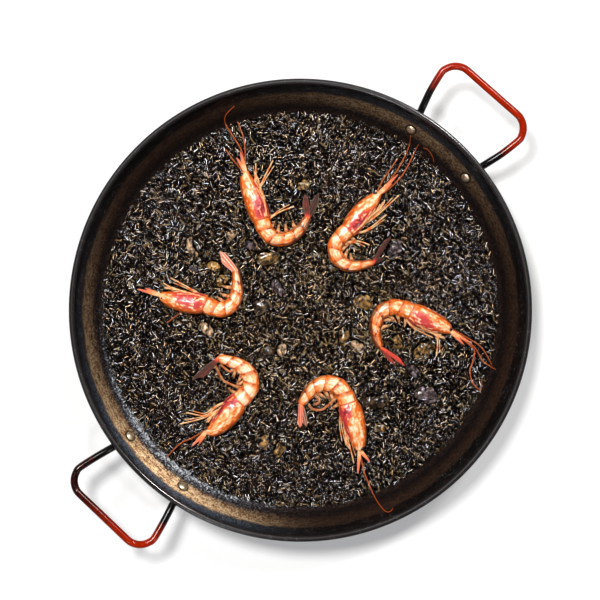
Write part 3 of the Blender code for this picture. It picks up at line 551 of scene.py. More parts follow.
def vitreous_enamel(settings):
    """Flecked black enamel, fired on pressed steel: glassy where bare, and dull brown where oil has baked on.

    The marks give the inside of the wall (red), the painted highlight on the baked film (green), the painted
    sheen that makes the dried starch pale (blue) and where the rim is wiped to a gloss (alpha).
    """
    made, node, shader, place = surface("vitreous_enamel", IOR=1.5)
    inside, highlight, starch_sheen, gloss = read_marks(node)
    x, y, level = node("SeparateXYZ", [place]).outputs

    flecks = node("TexVoronoi", {"Vector": place, "Scale": per_metre(1.5)})
    fleck = node("ValToRGB", [flecks], ((0.16, 1.0), (0.26, 0.0)))
    some = node("TexNoise", {"Vector": place, "Scale": per_metre(7.0), "Detail": 2.0})
    sparse = node("ValToRGB", [some], ((0.48, 0.03), (0.66, 0.9)))
    shown = node("Math", (fleck, sparse), operation="MULTIPLY")
    grit = node("TexNoise", {"Vector": place, "Scale": per_metre(1.9), "Detail": 2.0, "Roughness": 0.8})
    mottled = node("MapRange", (grit, 0.42, 0.6, 0.15, 1.9))
    # A painted blue-grey sky reflection on the bare inner enamel, where the film's painted highlight lies.
    sky_sheen = node("Math", (mottled, highlight), operation="MULTIPLY")
    inner = node("Math", (sky_sheen, inside), operation="MULTIPLY")
    sky_sheen_share = node("Math", (inner, 0.9), operation="MULTIPLY", use_clamp=True)
    rubbed_rim = node("Mix", {0: inside, 6: linear("#1A1617"), 7: settings.enamel}, data_type="RGBA")
    sheened_enamel = node("Mix", {0: sky_sheen_share, 6: rubbed_rim, 7: linear("#454E5A")}, data_type="RGBA")
    bare = node("Mix", {0: shown, 6: sheened_enamel, 7: settings.fleck}, data_type="RGBA")

    # Wiping has drawn the film and the starch into streaks 9 mm long and 2 mm high round the wall, whose
    # radius is about 0.21 m. Their seam lies where the wall is dark.
    heading = node("Math", (x, y), operation="ARCTAN2")
    along = node("Math", (heading, 0.21 * per_metre(9.0)), operation="MULTIPLY")
    upward = node("Math", (level, per_metre(2.2)), operation="MULTIPLY")
    wiped = node("CombineXYZ", (along, upward))
    streaks = node("TexNoise", {"Vector": wiped, "Scale": 1.0, "Detail": 4.0, "Roughness": 0.7})

    # The film's edges wander by a few millimetres up and down the wall, and are ragged in small. Under the
    # painted highlight the film reaches a little higher.
    wander = node("TexNoise", {"Vector": place, "Scale": per_metre(16.0), "Detail": 3.0, "Roughness": 0.6})
    speck = node("TexNoise", {"Vector": place, "Scale": per_metre(1.7), "Detail": 3.0, "Roughness": 0.85})
    reach = level
    for uneven, metres in ((speck, 0.004), (grit, 0.009), (wander, 0.004), (highlight, -0.0018)):
        reach = node("Math", (uneven, metres, reach), operation="MULTIPLY_ADD")
    height = node("MapRange", (reach, 0.017, 0.057))
    band = node("ValToRGB", [height],
                ((0.0, 0.0), (0.27, 0.0), (0.39, 0.95), (0.67, 1.0), (0.69, 0.05), (0.8, 0.0)))
    mottle = node("Math", (grit, streaks), operation="ADD")
    worn = node("MapRange", (mottle, 0.66, 0.8))
    held = node("Math", (band, worn), operation="MULTIPLY")
    thick = node("Math", (held, inside), operation="MULTIPLY")
    # thin is the colour of the film's painted highlight, which the painted highlight mark mixes in.
    dull, thin = np.array(settings.film), np.array(settings.film_highlight)
    half = node("Math", (mottle, 0.5), operation="MULTIPLY")
    brown = node("ValToRGB", [half], ((0.42, dull * 0.4), (0.57, dull * 1.4)))
    highlit_film = node("ValToRGB", [half], ((0.41, thin * (0.2, 0.12, 0.07)), (0.46, thin * (0.62, 0.44, 0.28)),
                                     (0.51, thin), (0.58, np.minimum(0.95, thin * 1.7))))
    baked = node("Mix", {0: highlight, 6: brown, 7: highlit_film}, data_type="RGBA")
    # Towards the rice the film is darker, least so under its painted highlight.
    sunk = node("MapRange", (height, 0.36, 0.56, 0.95, 0.0))
    spared = node("Math", (highlight, -0.6, 1.0), operation="MULTIPLY_ADD")
    shaded = node("Math", (sunk, spared), operation="MULTIPLY")
    deep = node("Mix", {0: shaded, 6: baked, 7: (0.34, 0.26, 0.22)}, data_type="RGBA", blend_type="MULTIPLY")
    filmed = node("Mix", {0: thick, 6: bare, 7: deep}, data_type="RGBA")

    # Below the film the wall carries dried ink and starch: grey specks, closest by the rice.
    low = node("MapRange", (height, 0.24, 0.39, 1.0, 0.0))
    dried = node("Math", (low, inside), operation="MULTIPLY")
    rubbed = node("Math", (streaks, 0.34, grit), operation="MULTIPLY_ADD")
    # The painted sheen makes the dried starch paler, up to a bluish white, where it lies.
    pale = node("Math", (starch_sheen, 0.15, rubbed), operation="MULTIPLY_ADD")
    near = node("MapRange", (height, 0.14, 0.36, 0.11, -0.04))
    paler = node("Math", (near, pale), operation="ADD")
    residue = node("ValToRGB", [paler], ((0.74, linear("#080506")), (0.86, linear("#2C2728")),
                                         (0.93, linear("#6C7078")), (1.0, linear("#C4C8CE"))))
    soot = node("ValToRGB", [paler], ((0.7, linear("#060303")), (1.0, linear("#36261F"))))
    sheen_on_starch = node("Math", (starch_sheen, 1.6), operation="MULTIPLY", use_clamp=True)
    crust = node("Mix", {0: sheen_on_starch, 6: soot, 7: residue}, data_type="RGBA")
    crusted = node("Mix", {0: dried, 6: filmed, 7: crust}, data_type="RGBA")
    # A painted shade rings each rivet's head.
    rivet_shade = []
    for point in rivet_points():
        away = node("VectorMath", (place, point * METRES), operation="DISTANCE")
        rivet_shade.append(node("MapRange", (away, 0.0056, 0.0072, 0.9, 0.0)))
    while len(rivet_shade) > 1:
        rivet_shade = [node("Math", rivet_shade[:2], operation="MAXIMUM"), *rivet_shade[2:]]
    whole = node("Mix", {0: rivet_shade[0], 6: crusted, 7: settings.enamel}, data_type="RGBA")

    # The rolled rim is wiped to a gloss on two sides. The inside has been dulled by fire.
    matt = node("Math", (thick, dried), operation="ADD", use_clamp=True)
    rim = node("Math", (gloss, -0.28, 0.42), operation="MULTIPLY_ADD")
    used = node("Math", (inside, -0.12, rim), operation="MULTIPLY_ADD")
    rough = node("Math", (matt, 0.27, used), operation="MULTIPLY_ADD")
    shine = node("Math", (gloss, 0.88, 0.12), operation="MULTIPLY_ADD")
    raised = node("Math", (speck, matt), operation="MULTIPLY")
    bump = node("Bump", {"Strength": 0.5, "Distance": 0.0005, "Height": raised})
    connect(shader, {"Base Color": whole, "Roughness": rough, "Specular IOR Level": shine, "Normal": bump})
    return made


def scorched_enamel(settings):
    """Red enamel on a bent rod, burnt black and brown near the flame: the burnt part is dull and flecked.

    The marks give how burnt the rod is (red).
    """
    made, node, shader, place = surface("scorched_enamel", IOR=1.5, Specular_IOR_Level=0.2)
    burn, *_ = read_marks(node)
    blotch = node("TexNoise", {"Vector": place, "Scale": per_metre(4.0), "Detail": 6.0, "Roughness": 0.75})
    edge = node("Math", (blotch, 0.8, burn), operation="MULTIPLY_ADD")
    paint, scorch = np.array(settings.handle_paint), np.array(settings.handle_scorch)
    burnt = node("ValToRGB", [edge], ((0.34, paint * 1.15), (0.5, paint * 0.75),
                                      (0.78, paint * 0.22 + scorch * 0.6), (1.0, scorch)))
    flecks = node("TexVoronoi", {"Vector": place, "Scale": per_metre(1.8)})
    fleck = node("ValToRGB", [flecks], ((0.08, 0.5), (0.18, 0.0)))
    shown = node("Math", (fleck, burn), operation="MULTIPLY")
    whole = node("Mix", {0: shown, 6: burnt, 7: linear("#3A2E2A")}, data_type="RGBA")
    rough = node("MapRange", (burn, 0.0, 1.0, 0.12, 0.2))
    bump = node("Bump", {"Strength": 0.15, "Distance": 0.0003, "Height": blotch})
    connect(shader, {"Base Color": whole, "Roughness": rough, "Normal": bump})
    return made


def pressed_aluminium(settings):
    """Soft aluminium pressed to a dome: satin, with fine dents and a trace of oil that warms it."""
    metal = np.array(settings.rivet_metal)
    return clouded("pressed_aluminium", 2.2, 4.0, ((0.3, metal * 0.7), (0.6, metal)), (0.36, 0.52), (0.3, 0.0003),
                   Metallic=1.0)


def inked_rice(settings):
    """Boiled rice dyed with ink: near black and wet, with some grains that stay brown or tan.

    The marks give how brown a grain is (red), how pale (green), and how golden its wet skin shines (blue).
    """
    made, node, shader, place = surface("inked_rice", IOR=2.0, Coat_Weight=0.2, Coat_Roughness=0.05)
    toned, paled, golden, _ = read_marks(node)
    sheen = node("ValToRGB", [golden],
                 ((0.1, linear("#ECF0FC")), (0.5, linear("#FFF6EC")), (0.9, linear("#FFDCAC"))))
    film = node("TexNoise", {"Vector": place, "Scale": per_metre(2.6), "Detail": 3.0, "Roughness": 0.6})
    patch = node("TexNoise", {"Vector": place, "Scale": per_metre(45.0), "Detail": 2.0})
    spread = node("Math", (film, 0.6, toned), operation="MULTIPLY_ADD")
    tone = node("Math", (patch, 0.22, spread), operation="MULTIPLY_ADD")
    undyed = node("MapRange", (tone, 0.95, 1.4))
    brown, tan = np.array(settings.brown), np.array(settings.tan)
    dye = node("ValToRGB", [undyed], ((0.0, settings.ink), (0.5, brown), (1.0, brown * 0.7 + tan * 0.3)))
    whole = node("Mix", {0: paled, 6: dye, 7: tan}, data_type="RGBA")
    rough = node("MapRange", (film, 0.3, 0.7, 0.06, 0.16))
    bump = node("Bump", {"Strength": 0.08, "Distance": 0.0003, "Height": film})
    connect(shader, {"Base Color": whole, "Roughness": rough, "Specular Tint": sheen, "Normal": bump})
    return made


def ink_paste(settings):
    """Starch and ink between the grains: black, lumpy and moist."""
    ink = np.array(settings.ink)
    return clouded("ink_paste", 4.0, 5.0, ((0.4, ink * 0.4), (0.7, ink)), (0.4, 0.8), (0.8, 0.0008),
                   IOR=1.4, Specular_IOR_Level=0.04)


def cooked_shell(settings):
    """Boiled and grilled prawn shell: thin, glossy chitin over pale flesh, streaked with orange pigment.

    The marks give where rings lap (red), the crimson patch (green), burnt edges (blue) and how orange
    the shell is (alpha), which also holds painted shade at its outline and painted highlight in pale streaks.
    The runs give a point's millimetres along the shell and its place round it, and are drawn out so that a
    streak is about 9 mm long. The freckles only dull the gloss and roughen it.
    """
    made, node, shader, place = surface(
        "cooked_shell", IOR=1.5, Coat_Weight=0.25, Coat_Roughness=0.15, Subsurface_Weight=0.12,
        Subsurface_Scale=0.003, Subsurface_Radius=(1.0, 0.45, 0.25))
    lapped, crimson, burning, tint = read_marks(node)
    cloud = node("TexNoise", {"Vector": place, "Scale": per_metre(7.0), "Detail": 4.0, "Roughness": 0.6})
    freckle = node("TexNoise", {"Vector": place, "Scale": per_metre(1.5), "Detail": 3.0, "Roughness": 0.7})
    runs = node("Attribute", attribute_name="runs").outputs["Vector"]
    drawn_out = node("VectorMath", (runs, (0.11, 3.2, 3.2)), operation="MULTIPLY")
    streaks = node("TexNoise", {"Vector": drawn_out, "Scale": 1.0, "Detail": 5.0, "Roughness": 0.72})
    blend = node("Math", (cloud, 0.6, -0.3), operation="MULTIPLY_ADD")
    spots = node("Math", (streaks, 1.7, -0.85), operation="MULTIPLY_ADD")
    uneven = node("Math", (blend, spots), operation="ADD")
    orange = node("Math", (tint, uneven), operation="ADD", use_clamp=True)
    cream, amber, rouge = np.array(settings.cream), np.array(settings.orange), np.array(settings.rouge)
    base = node("ValToRGB", [orange], (
        (0.0, cream), (0.3, (cream * 0.6 + amber * 0.4) * (1.0, 0.97, 0.62)), (0.62, amber),
        (1.0, amber * 0.35 + np.array(settings.deep) * 0.65)))

    laps = node("Math", (cloud, 0.8, -0.4), operation="MULTIPLY_ADD")
    lap = node("Math", (lapped, laps), operation="ADD", use_clamp=True)
    wedge = node("MapRange", (lap, 0.08, 0.6, 0.0, 0.9))
    seam = node("MapRange", (lap, 0.72, 1.0, 0.0, 0.85))
    banded = node("Mix", {0: wedge, 6: base, 7: amber}, data_type="RGBA")
    seamed = node("Mix", {0: seam, 6: banded, 7: settings.deep}, data_type="RGBA")
    patch = node("Math", (uneven, 0.45, crimson), operation="MULTIPLY_ADD")
    patchy = node("MapRange", (patch, 0.08, 0.45))
    flush = node("ValToRGB", [patch], ((0.15, rouge * 0.25 + amber * 0.8), (0.45, rouge * 0.85 + amber * 0.22),
                                       (0.8, rouge * 1.1), (1.0, rouge * 0.4)))
    flushed = node("Mix", {0: patchy, 6: seamed, 7: flush}, data_type="RGBA")
    burn = node("Math", (burning, spots), operation="ADD")
    burnt = node("MapRange", (burn, 0.4, 0.85, 0.0, 0.8))
    whole = node("Mix", {0: burnt, 6: flushed, 7: settings.char}, data_type="RGBA")
    rough = node("MapRange", (freckle, 0.3, 0.7, 0.26, 0.5))
    bump = node("Bump", {"Strength": 0.3, "Distance": 0.0004, "Height": cloud})
    fine = node("Bump", {"Strength": 0.2, "Distance": 0.0002, "Height": freckle, "Normal": bump})
    connect(shader, {"Base Color": whole, "Roughness": rough, "Normal": fine})
    return made


def cooked_limb(settings):
    """Thin jointed chitin of legs, feelers and fan: glossy and a little see-through, so paler at its thin edges.

    The marks give the share along the limb (red), leg 0 to feeler 1 (green), burnt 0 to 1 (blue), and for
    a fan its tint from orange to plum (alpha, below 0 elsewhere) and its pale ribs (green).
    """
    made, node, shader, place = surface("cooked_limb", IOR=1.5, Specular_IOR_Level=0.06)
    share, kind, burning, plum = read_marks(node)
    cloud = node("TexNoise", {"Vector": place, "Scale": per_metre(3.0), "Detail": 4.0, "Roughness": 0.65})
    bands = node("Math", (share, 19.0), operation="MULTIPLY")
    wave = node("Math", [bands], operation="SINE")
    ringed = node("Math", (wave, 0.12, cloud), operation="MULTIPLY_ADD")
    leg = node("ValToRGB", [ringed], ((0.42, settings.leg), (0.7, settings.orange), (0.85, settings.deep)))
    limb = node("Mix", {0: kind, 6: leg, 7: settings.feeler}, data_type="RGBA")
    tint = node("Math", (cloud, 0.5, plum), operation="MULTIPLY_ADD")
    brick = np.array(settings.brick)
    blade = node("ValToRGB", [tint], ((0.25, settings.leg), (0.42, settings.orange), (0.62, brick),
                                      (0.85, brick * 0.3), (1.0, settings.plum)))
    rib = node("Math", (kind, 0.8), operation="MULTIPLY")
    fan = node("Mix", {0: rib, 6: blade, 7: settings.cream}, data_type="RGBA")
    is_fan = node("Math", (plum, -0.5), operation="GREATER_THAN")
    both = node("Mix", {0: is_fan, 6: limb, 7: fan}, data_type="RGBA")
    burn = node("Math", (burning, cloud), operation="ADD")
    burnt = node("MapRange", (burn, 0.8, 1.35))
    whole = node("Mix", {0: burnt, 6: both, 7: settings.char}, data_type="RGBA")
    rough = node("MapRange", (cloud, 0.0, 1.0, 0.35, 0.65))
    bump = node("Bump", {"Strength": 0.5, "Distance": 0.0004, "Height": cloud})
    connect(shader, {"Base Color": whole, "Roughness": rough, "Normal": bump})
    return made


def boiled_eye(settings):
    """A boiled prawn's eye: black and wet, with a faint brown bloom."""
    stops = ((0.4, np.array(settings.char) * 0.5), (0.7, linear("#3A2016")))
    return clouded("boiled_eye", 1.2, 2.0, stops, (0.1, 0.3), IOR=1.45, Coat_Weight=0.6, Coat_Roughness=0.08)


def stewed_cuttlefish(kind, flesh, ink):
    """Stewed cuttlefish: springy wet flesh, glossy on its swells; its colour runs from ink black in its folds to pale
    on its swells.

    The marks give how raised the flesh is (red).
    """
    made, node, shader, place = surface(
        "stewed_cuttlefish_" + kind, IOR=1.42, Specular_IOR_Level=0.1, Coat_Weight=0.75, Coat_Roughness=0.07,
        Subsurface_Weight=0.1, Subsurface_Scale=0.003)
    swell, *_ = read_marks(node)
    folds = node("TexNoise", {"Vector": place, "Scale": per_metre(3.6), "Detail": 5.0, "Roughness": 0.75})
    grain = node("TexNoise", {"Vector": place, "Scale": per_metre(1.2), "Detail": 3.0})
    raised = node("Math", (folds, 1.1, swell), operation="MULTIPLY_ADD")
    flesh = np.array(flesh)
    tone = node("ValToRGB", [raised], ((0.42, ink), (0.52, flesh * 0.35), (0.66, flesh), (0.82, flesh * 2.2)))
    rough = node("MapRange", (grain, 0.0, 1.0, 0.3, 0.6))
    bump = node("Bump", {"Strength": 0.9, "Distance": 0.001, "Height": folds})
    fine = node("Bump", {"Strength": 0.3, "Distance": 0.0003, "Height": grain, "Normal": bump})
    connect(shader, {"Base Color": tone, "Roughness": rough, "Normal": fine})
    return made


def lit_board(settings):
    """White acrylic board lit from within: pale, matt, even, and its shadows stay light."""
    white = np.array(settings.floor)
    return clouded("lit_board", 3.0, 2.0, ((0.3, white * 0.985), (0.7, white)), (0.8, 0.95),
                   IOR=1.45, Emission_Strength=settings.glow, Emission_Color=(1.0, 1.0, 1.0))


# ---- pan, handles, rivets ------------------------------------------------------------------------
def wall_level(radius):
    """Height of the inner wall at a radius."""
    return WALL_TOP_LEVEL - (WALL_TOP_RADIUS - radius) * math.tan(math.radians(WALL_ANGLE))


def inner_profile(sheet, offset, steps):
    """The pan's inner surface, raised by an offset, from the flat base to the top of the fillet."""
    tilt = math.radians(WALL_ANGLE)
    centre_level = sheet + BASE_FILLET
    slack = BASE_FILLET - (centre_level - WALL_TOP_LEVEL) * math.cos(tilt)
    centre_radius = WALL_TOP_RADIUS - slack / math.sin(tilt)
    bend = BASE_FILLET - offset
    turns = [math.radians(-90.0 + WALL_ANGLE * k / steps) for k in range(steps + 1)]
    return [(centre_radius + bend * math.cos(t), centre_level + bend * math.sin(t)) for t in turns]


def turned(profile, facets):
    """Rings of points turned about Z from (radius, level) pairs, ready for a skin."""
    c, s = circle(facets)
    radius, level = np.array(profile, float).T[..., None]
    return stacked(radius * c, -radius * s, level)


def round_the_pan(around, places):
    """How strongly each place of a table shows at angles round the pan."""
    return sum(peak * np.exp(-((np.mod(around - middle + 180.0, 360.0) - 180.0) / spread) ** 2)
               for middle, spread, peak in places)[None]


def make_pan(settings):
    """The pressed pan with its edge rolled into a bead."""
    sheet = settings.sheet / METRES
    bead = settings.bead_diameter / METRES / 2
    centre = (settings.rim_diameter / METRES / 2 - bead, settings.height / METRES - bead)
    outside = [(r, 0.0) for r in BASE_RINGS] + inner_profile(sheet, -sheet, 10)
    roll = [math.radians(BEAD_START + BEAD_TURN * share) for share in np.linspace(0.0, 1.0, 27)]
    rim = [(centre[0] + bead * math.cos(t), centre[1] + bead * math.sin(t)) for t in roll]
    fillet = inner_profile(sheet, 0.0, 10)
    wall = np.linspace((WALL_TOP_RADIUS, WALL_TOP_LEVEL), fillet[-1], 9)[1:-1].tolist()
    inside = wall + fillet[::-1] + [(r, sheet) for r in BASE_RINGS[::-1]]
    rings = turned(outside + rim + inside, PAN_FACETS)
    inner = np.array([0.0] * (len(outside) + len(rim) - 2) + [0.5] * 2 + [1.0] * len(inside))[:, None]
    around = np.degrees(np.arctan2(rings[0, :, 1], rings[0, :, 0])) + CAMERA_TURN
    # The painted highlight on the film, the painted sheen on the starch and the rim's gloss, by angle round the pan.
    highlight, starch_sheen, gloss = (round_the_pan(around, places) for places in (FILM_HIGHLIGHT, STARCH_SHEEN, BEAD_GLOSS))
    Piece().wrap(rings, (inner, highlight, starch_sheen, gloss * (1.0 - inner))).make(
        "enamelled_pan", [vitreous_enamel(settings)], "enamelled_steel", "pan")


def on_wall(turn, up, out):
    """A point on the wall at an angle: so far up from the rivet line, so far out of the inner face."""
    tilt = math.radians(WALL_ANGLE)
    radius = RIVET_RADIUS_FROM_AXIS + up * math.cos(tilt) + out * math.sin(tilt)
    level = wall_level(RIVET_RADIUS_FROM_AXIS) + up * math.sin(tilt) - out * math.cos(tilt)
    return np.array((radius * math.cos(turn), radius * math.sin(turn), level))


def spun(points, degrees):
    """Points turned about the pan's axis."""
    c, s = aimed(degrees)
    return points @ np.array(((c, s, 0.0), (-s, c, 0.0), (0.0, 0.0, 1.0)))


def rivet_points():
    """Centres of the four rivets on the wall's inner face."""
    return [spun(on_wall(math.radians(RIVET_SPREAD) * side, 0.0, 0.0), heading)
            for heading in (HANDLE_TURN, 180.0 - HANDLE_TURN) for side in (1, -1)]


def make_handle(name, heading, paint, sheet):
    """A bent rod with flattened ends. Its legs are burnt, and so is most of the second handle."""
    turn = math.radians(RIVET_SPREAD)
    rod, reach = ROD_DIAMETER / 2, HANDLE_REACH[name]
    rows = [(*on_wall(turn, up, sheet + GAP + TAB_THICKNESS / 2), wide * TAB_WIDTH / 2, thick * TAB_THICKNESS / 2)
            for up, wide, thick in TAB_OUTLINE]
    rows.append((*on_wall(turn, ROD_ROUND_FROM, sheet + GAP + rod), rod, rod))
    rows += [(out, aside, HANDLE_BAR_LEVEL + drop, rod, rod) for out, aside, drop in LEG_PATH]
    corner_u, corner_v = reach - HANDLE_CORNER, HANDLE_HALF_SPAN - HANDLE_CORNER
    for share in np.linspace(0.0, 1.0, 6):
        bend = math.radians(90.0 * share)
        rows.append((corner_u + HANDLE_CORNER * math.sin(bend), corner_v + HANDLE_CORNER * math.cos(bend),
                     HANDLE_BAR_LEVEL - CORNER_DROP * (1.0 - share), rod, rod))
    rows.append((reach, corner_v / 2, HANDLE_BAR_LEVEL, rod, rod))
    half = np.array(rows)
    fine = smooth_line(np.vstack((half, half[::-1] * (1, -1, 1, 1, 1))), 5)
    wide, thick = np.minimum(fine[:, 3], TAB_WIDTH / 2), np.minimum(fine[:, 4], rod)
    rings = spun(rings_round(fine[:, :3], wide, thick, ROD_SIDES), heading)
    middle = rings.mean(axis=1)
    away, side = np.abs(middle[:, 0]), middle[:, 1]
    # The burn fades between 240 and 268 mm out from the pan's middle.
    burn = 1.0 - 0.7 * ease(240.0, 254.0, away) - 0.3 * ease(254.0, 268.0, away)
    if name == "handle_b":
        burn = np.maximum(burn, 0.56 * ease(-34.0, 58.0, side))
    Piece().wrap(rings, (burn, 0.0, 0.0, 1.0)).make(name + "_rod", [paint], "red_enamel", name)


def make_rivet(name, side, heading, metal, sheet):
    """A rivet with a domed head inside the pan and another outside the handle's tab."""
    head, shank, edge = RIVET_HEAD / 2, RIVET_SHANK / 2, 0.1
    inside, outside = -GAP - RIVET_SINK, sheet + TAB_THICKNESS + 2 * GAP
    arc = [math.radians(90.0 * k / 8) for k in range(1, 9)]
    dome = [(head * math.sin(t), edge + (RIVET_DOME - edge) * math.cos(t)) for t in arc] + [(head - 0.15, 0.0)]
    low = [(radius, inside - rise) for radius, rise in dome]
    high = [(radius, outside + rise) for radius, rise in dome[::-1]]
    profile = [(0.3, inside - RIVET_DOME), *low, (shank, inside), (shank, outside), *high,
               (0.3, outside + RIVET_DOME)]
    angle = math.radians(RIVET_SPREAD) * side
    foot = on_wall(angle, 0.0, 0.0)
    swing = np.array(Vector((0, 0, 1)).rotation_difference(Vector(on_wall(angle, 0.0, 1.0) - foot)).to_matrix())
    rings = spun(turned(profile, RIVET_FACETS)[::-1, ::-1] @ swing.T + foot, heading)
    Piece().wrap(rings, (0.0, 0.0, 0.0, 1.0)).make(name + "_dome", [metal], "rivet_metal", name)


# ---- prawns --------------------------------------------------------------------------------------
def strand_line(points, radii, count, start_level=0.0):
    """A strand's shares, middle line and radii. Points without a level lie on the rice, or up the wall beyond it."""
    share = np.linspace(0.0, 1.0, count)
    line = walk(smooth_line(flat(points), 8), share)
    radius = radii[0] + (radii[1] - radii[0]) * share
    up_wall = wall_level(np.hypot(*line.T[:2])) + (radius + 2 * GAP) / math.cos(math.radians(WALL_ANGLE))
    rest = np.maximum(RICE_TOP + GAP + radius, up_wall)
    lift = np.maximum(0.0, start_level - rest) * (1.0 - share) ** 2
    line[:, 2] = np.where(line[:, 2] < 1.0, rest + lift, line[:, 2])
    return share, line, radius


def add_strand(piece, line, radius, marks):
    """Adds a thin round strand to a piece."""
    piece.wrap(rings_round(line, radius, radius, STRAND_SIDES), marks)


def add_leaf(piece, start, end, profile, thickness, marks, ribs=2, bow=0.0):
    """Adds a thin ribbed leaf: a fan blade, a scale of the head or a swimmer."""
    rounding = np.sqrt(np.clip(1.0 - np.clip((LEAF - 0.82) / 0.19, 0.0, 1.0) ** 2, 0.02, 1.0))
    width = np.maximum(shape(profile, LEAF), 0.3) * rounding
    line = start + (end - start) * LEAF[:, None]
    line = line + unit(np.cross(UP, end - start)) * (bow * np.sin(math.pi * LEAF))[:, None]
    rings = rings_round(line, width, thickness * (1.0 - 0.5 * LEAF), LEAF_SIDES)
    c, s = circle(LEAF_SIDES)
    ridge = 0.22 * thickness * np.cos(ribs * math.pi * c) * np.sign(s)
    rings[..., 2] += ridge * np.sin(math.pi * np.clip(LEAF * 1.1, 0.0, 1.0))[:, None]
    piece.wrap(rings, marks)


def ribbed(pale):
    """How pale a leaf is round its edge and along its middle."""
    c, _ = circle(LEAF_SIDES)
    return pale * (np.abs(c) ** 2.5 + (0.4 + pale) * np.exp(-(c / 0.12) ** 2))[None]


def shell_stations(spec):
    """The spine, the share of it where the abdomen starts, and five numbers for each loop of the shell's points.

    They are its share of the spine, its half width, its share of its own ring of shell, 1 in the head and
    0 behind it, and its share of the head or of the abdomen.
    """
    spine = smooth_line(flat(spec["carapace"] + spec["abdomen"]), 16)
    joint = reached(smooth_line(flat(spec["carapace"]), 16))[-1] / reached(spine)[-1] + 0.02
    u = np.linspace(0.0, 1.0, 52)
    loops = [(joint * u, shape(CARAPACE_SHAPE, u) * (1.0 - 0.05 * ease(0.85, 1.0, u)), u, np.ones(len(u)), u)]
    local = np.array(RING_STATIONS)
    lap = np.interp(local, *zip(*RING_LAP))
    for ring in range(SHELL_RINGS):
        u = (ring + local) / SHELL_RINGS
        share = joint + (1.0 - joint) * u + np.where(local == 0.0, 0.0012, 0.0)
        snug = np.maximum(lap, 1.03) if ring == 0 else lap
        loops.append((share, shape(ABDOMEN_SHAPE, u) * snug, local, np.zeros(len(u)), u))
    return spine, joint, np.hstack(loops)


def make_shell(name, spec, material):
    """The prawn's carapace and ringed abdomen as one curled, lapped shell. Returns where its legs and fan start."""
    girth, toast = spec["girth"], spec["toast"]
    spine, joint, loops = shell_stations(spec)
    line, (along, across) = walk(spine, loops[0]), headings(spine, loops[0])
    share, width, local, is_head, u = loops[..., None]
    width = width * girth
    height = width * BODY_FLATNESS
    line[:, 2:] = np.maximum(shape(MIDDLE_LEVEL, share), BED + height)
    c, s = circle(SHELL_SIDES)
    belly, round_it, in_head = np.clip(c, 0.0, 1.0), np.abs(c), is_head > 0.5
    # Each ring's flap ends in a rounded lobe on the belly side, and the back has a low keel.
    lobe = np.where(in_head, 0.03, 0.12 * np.sin(math.pi * local) ** 0.7 - 0.05) * belly ** 2
    wide = width * c * (1.0 + lobe + 0.04 * np.clip(-c, 0.0, 1.0) ** 6)
    # Shallow grooves of the carapace: one that frames the gills, one behind the eye.
    gill = np.exp(-((c - 0.28 + 0.25 * (local - 0.6)) / 0.1) ** 2) * ease(0.3, 0.45, local)
    neck = np.exp(-((local - 0.36 - 0.12 * c) / 0.03) ** 2)
    high = height * s * (1.0 - 0.16 * belly ** 3) - is_head * (0.45 * gill + 0.35 * neck) * np.clip(s, 0.0, 1.0)
    # Streaks that run along the shell, a few millimetres long and about one wide.
    run = share * reached(spine)[-1]
    seed = girth * 997.0        # takes each prawn's streaks from another place of the noise
    streak = swells(stacked(run * 0.16, 5.0 * c, 5.0 * s + seed))
    streak = streak + 0.7 * swells(stacked(run * 0.42, 9.0 * c, 9.0 * s + seed))
    relief = 1.0 + np.where(in_head, 0.05, 0.03) * streak * np.sin(math.pi * np.clip(share * 1.05, 0.0, 1.0))
    # The rings' seams lean back towards the tail on the belly side.
    lean = SEAM_LEAN * girth * ease(joint, joint + 0.2 * (1.0 - joint), share) * (1.0 - ease(0.9, 1.0, share)) * c
    rings = line[:, None]
    for way, lengths in ((across[:, None], wide * relief), (UP, high * relief), (along[:, None], lean)):
        rings = rings + way * lengths[..., None]

    place, aside, long, broad, strength = spec["rouge"]
    behind = u - place
    patch = ((behind + 0.05 * streak) / long) ** 2 + ((c - aside + 0.8 * behind + 0.2 * streak) / broad) ** 2
    # Pale streaks cut into the patch: partly the shell's own streaks, partly painted highlight.
    patch = strength * np.exp(-patch) * (1.0 - 0.8 * ease(0.08, 0.42, streak))
    belly_edge = spec["edge"] * np.exp(-((c - 0.84 + 0.12 * streak) / 0.17) ** 2)
    belly_edge = belly_edge * ease(0.1, 0.4, u) * (1.0 - 0.5 * ease(0.93, 1.0, u))
    crimson = is_head * np.maximum(patch, belly_edge)
    lapped = np.maximum(0.9 * ease(0.5, 0.98, local), 1.15 * (1.0 - ease(0.0, 0.12, local)))
    lapped = np.where(in_head, 0.7 * ease(0.95, 1.0, u), lapped) * (0.85 + 0.2 * round_it + 0.6 * streak)
    # The shell is paler along its middle in the head and deeper orange towards its outline: partly its own colour,
    # partly painted shade at the outline.
    orange = np.where(in_head, spec["head"] - 0.2 * np.exp(-((c - 0.05) / 0.4) ** 2), 0.05 + 0.45 * toast)
    orange = orange + 0.8 * round_it ** 4 + 0.15 * ease(0.75, 1.0, share)
    # Pale streaks along the shell: partly its own, partly painted highlight.
    orange = orange - 0.35 * ease(0.02, 0.35, streak) - 0.3 * streak
    burn = 1.8 * ease(0.38, 0.8, share) * (0.5 * ease(0.3, 0.85, round_it) + 0.5 * ease(0.0, 0.35, streak))
    burn = toast * (burn + 0.55 * ease(0.74, 0.94, share) * ease(-0.7, 0.4, -c))
    made = Piece().wrap(rings, (lapped, crimson, burn, orange)).make(name + "_shell", [material], "prawn_shell", name)
    mark(made.data, "runs", "FLOAT_VECTOR", capped(stacked(run + seed, c, s)))
    return line[0], line[-1], joint, spine


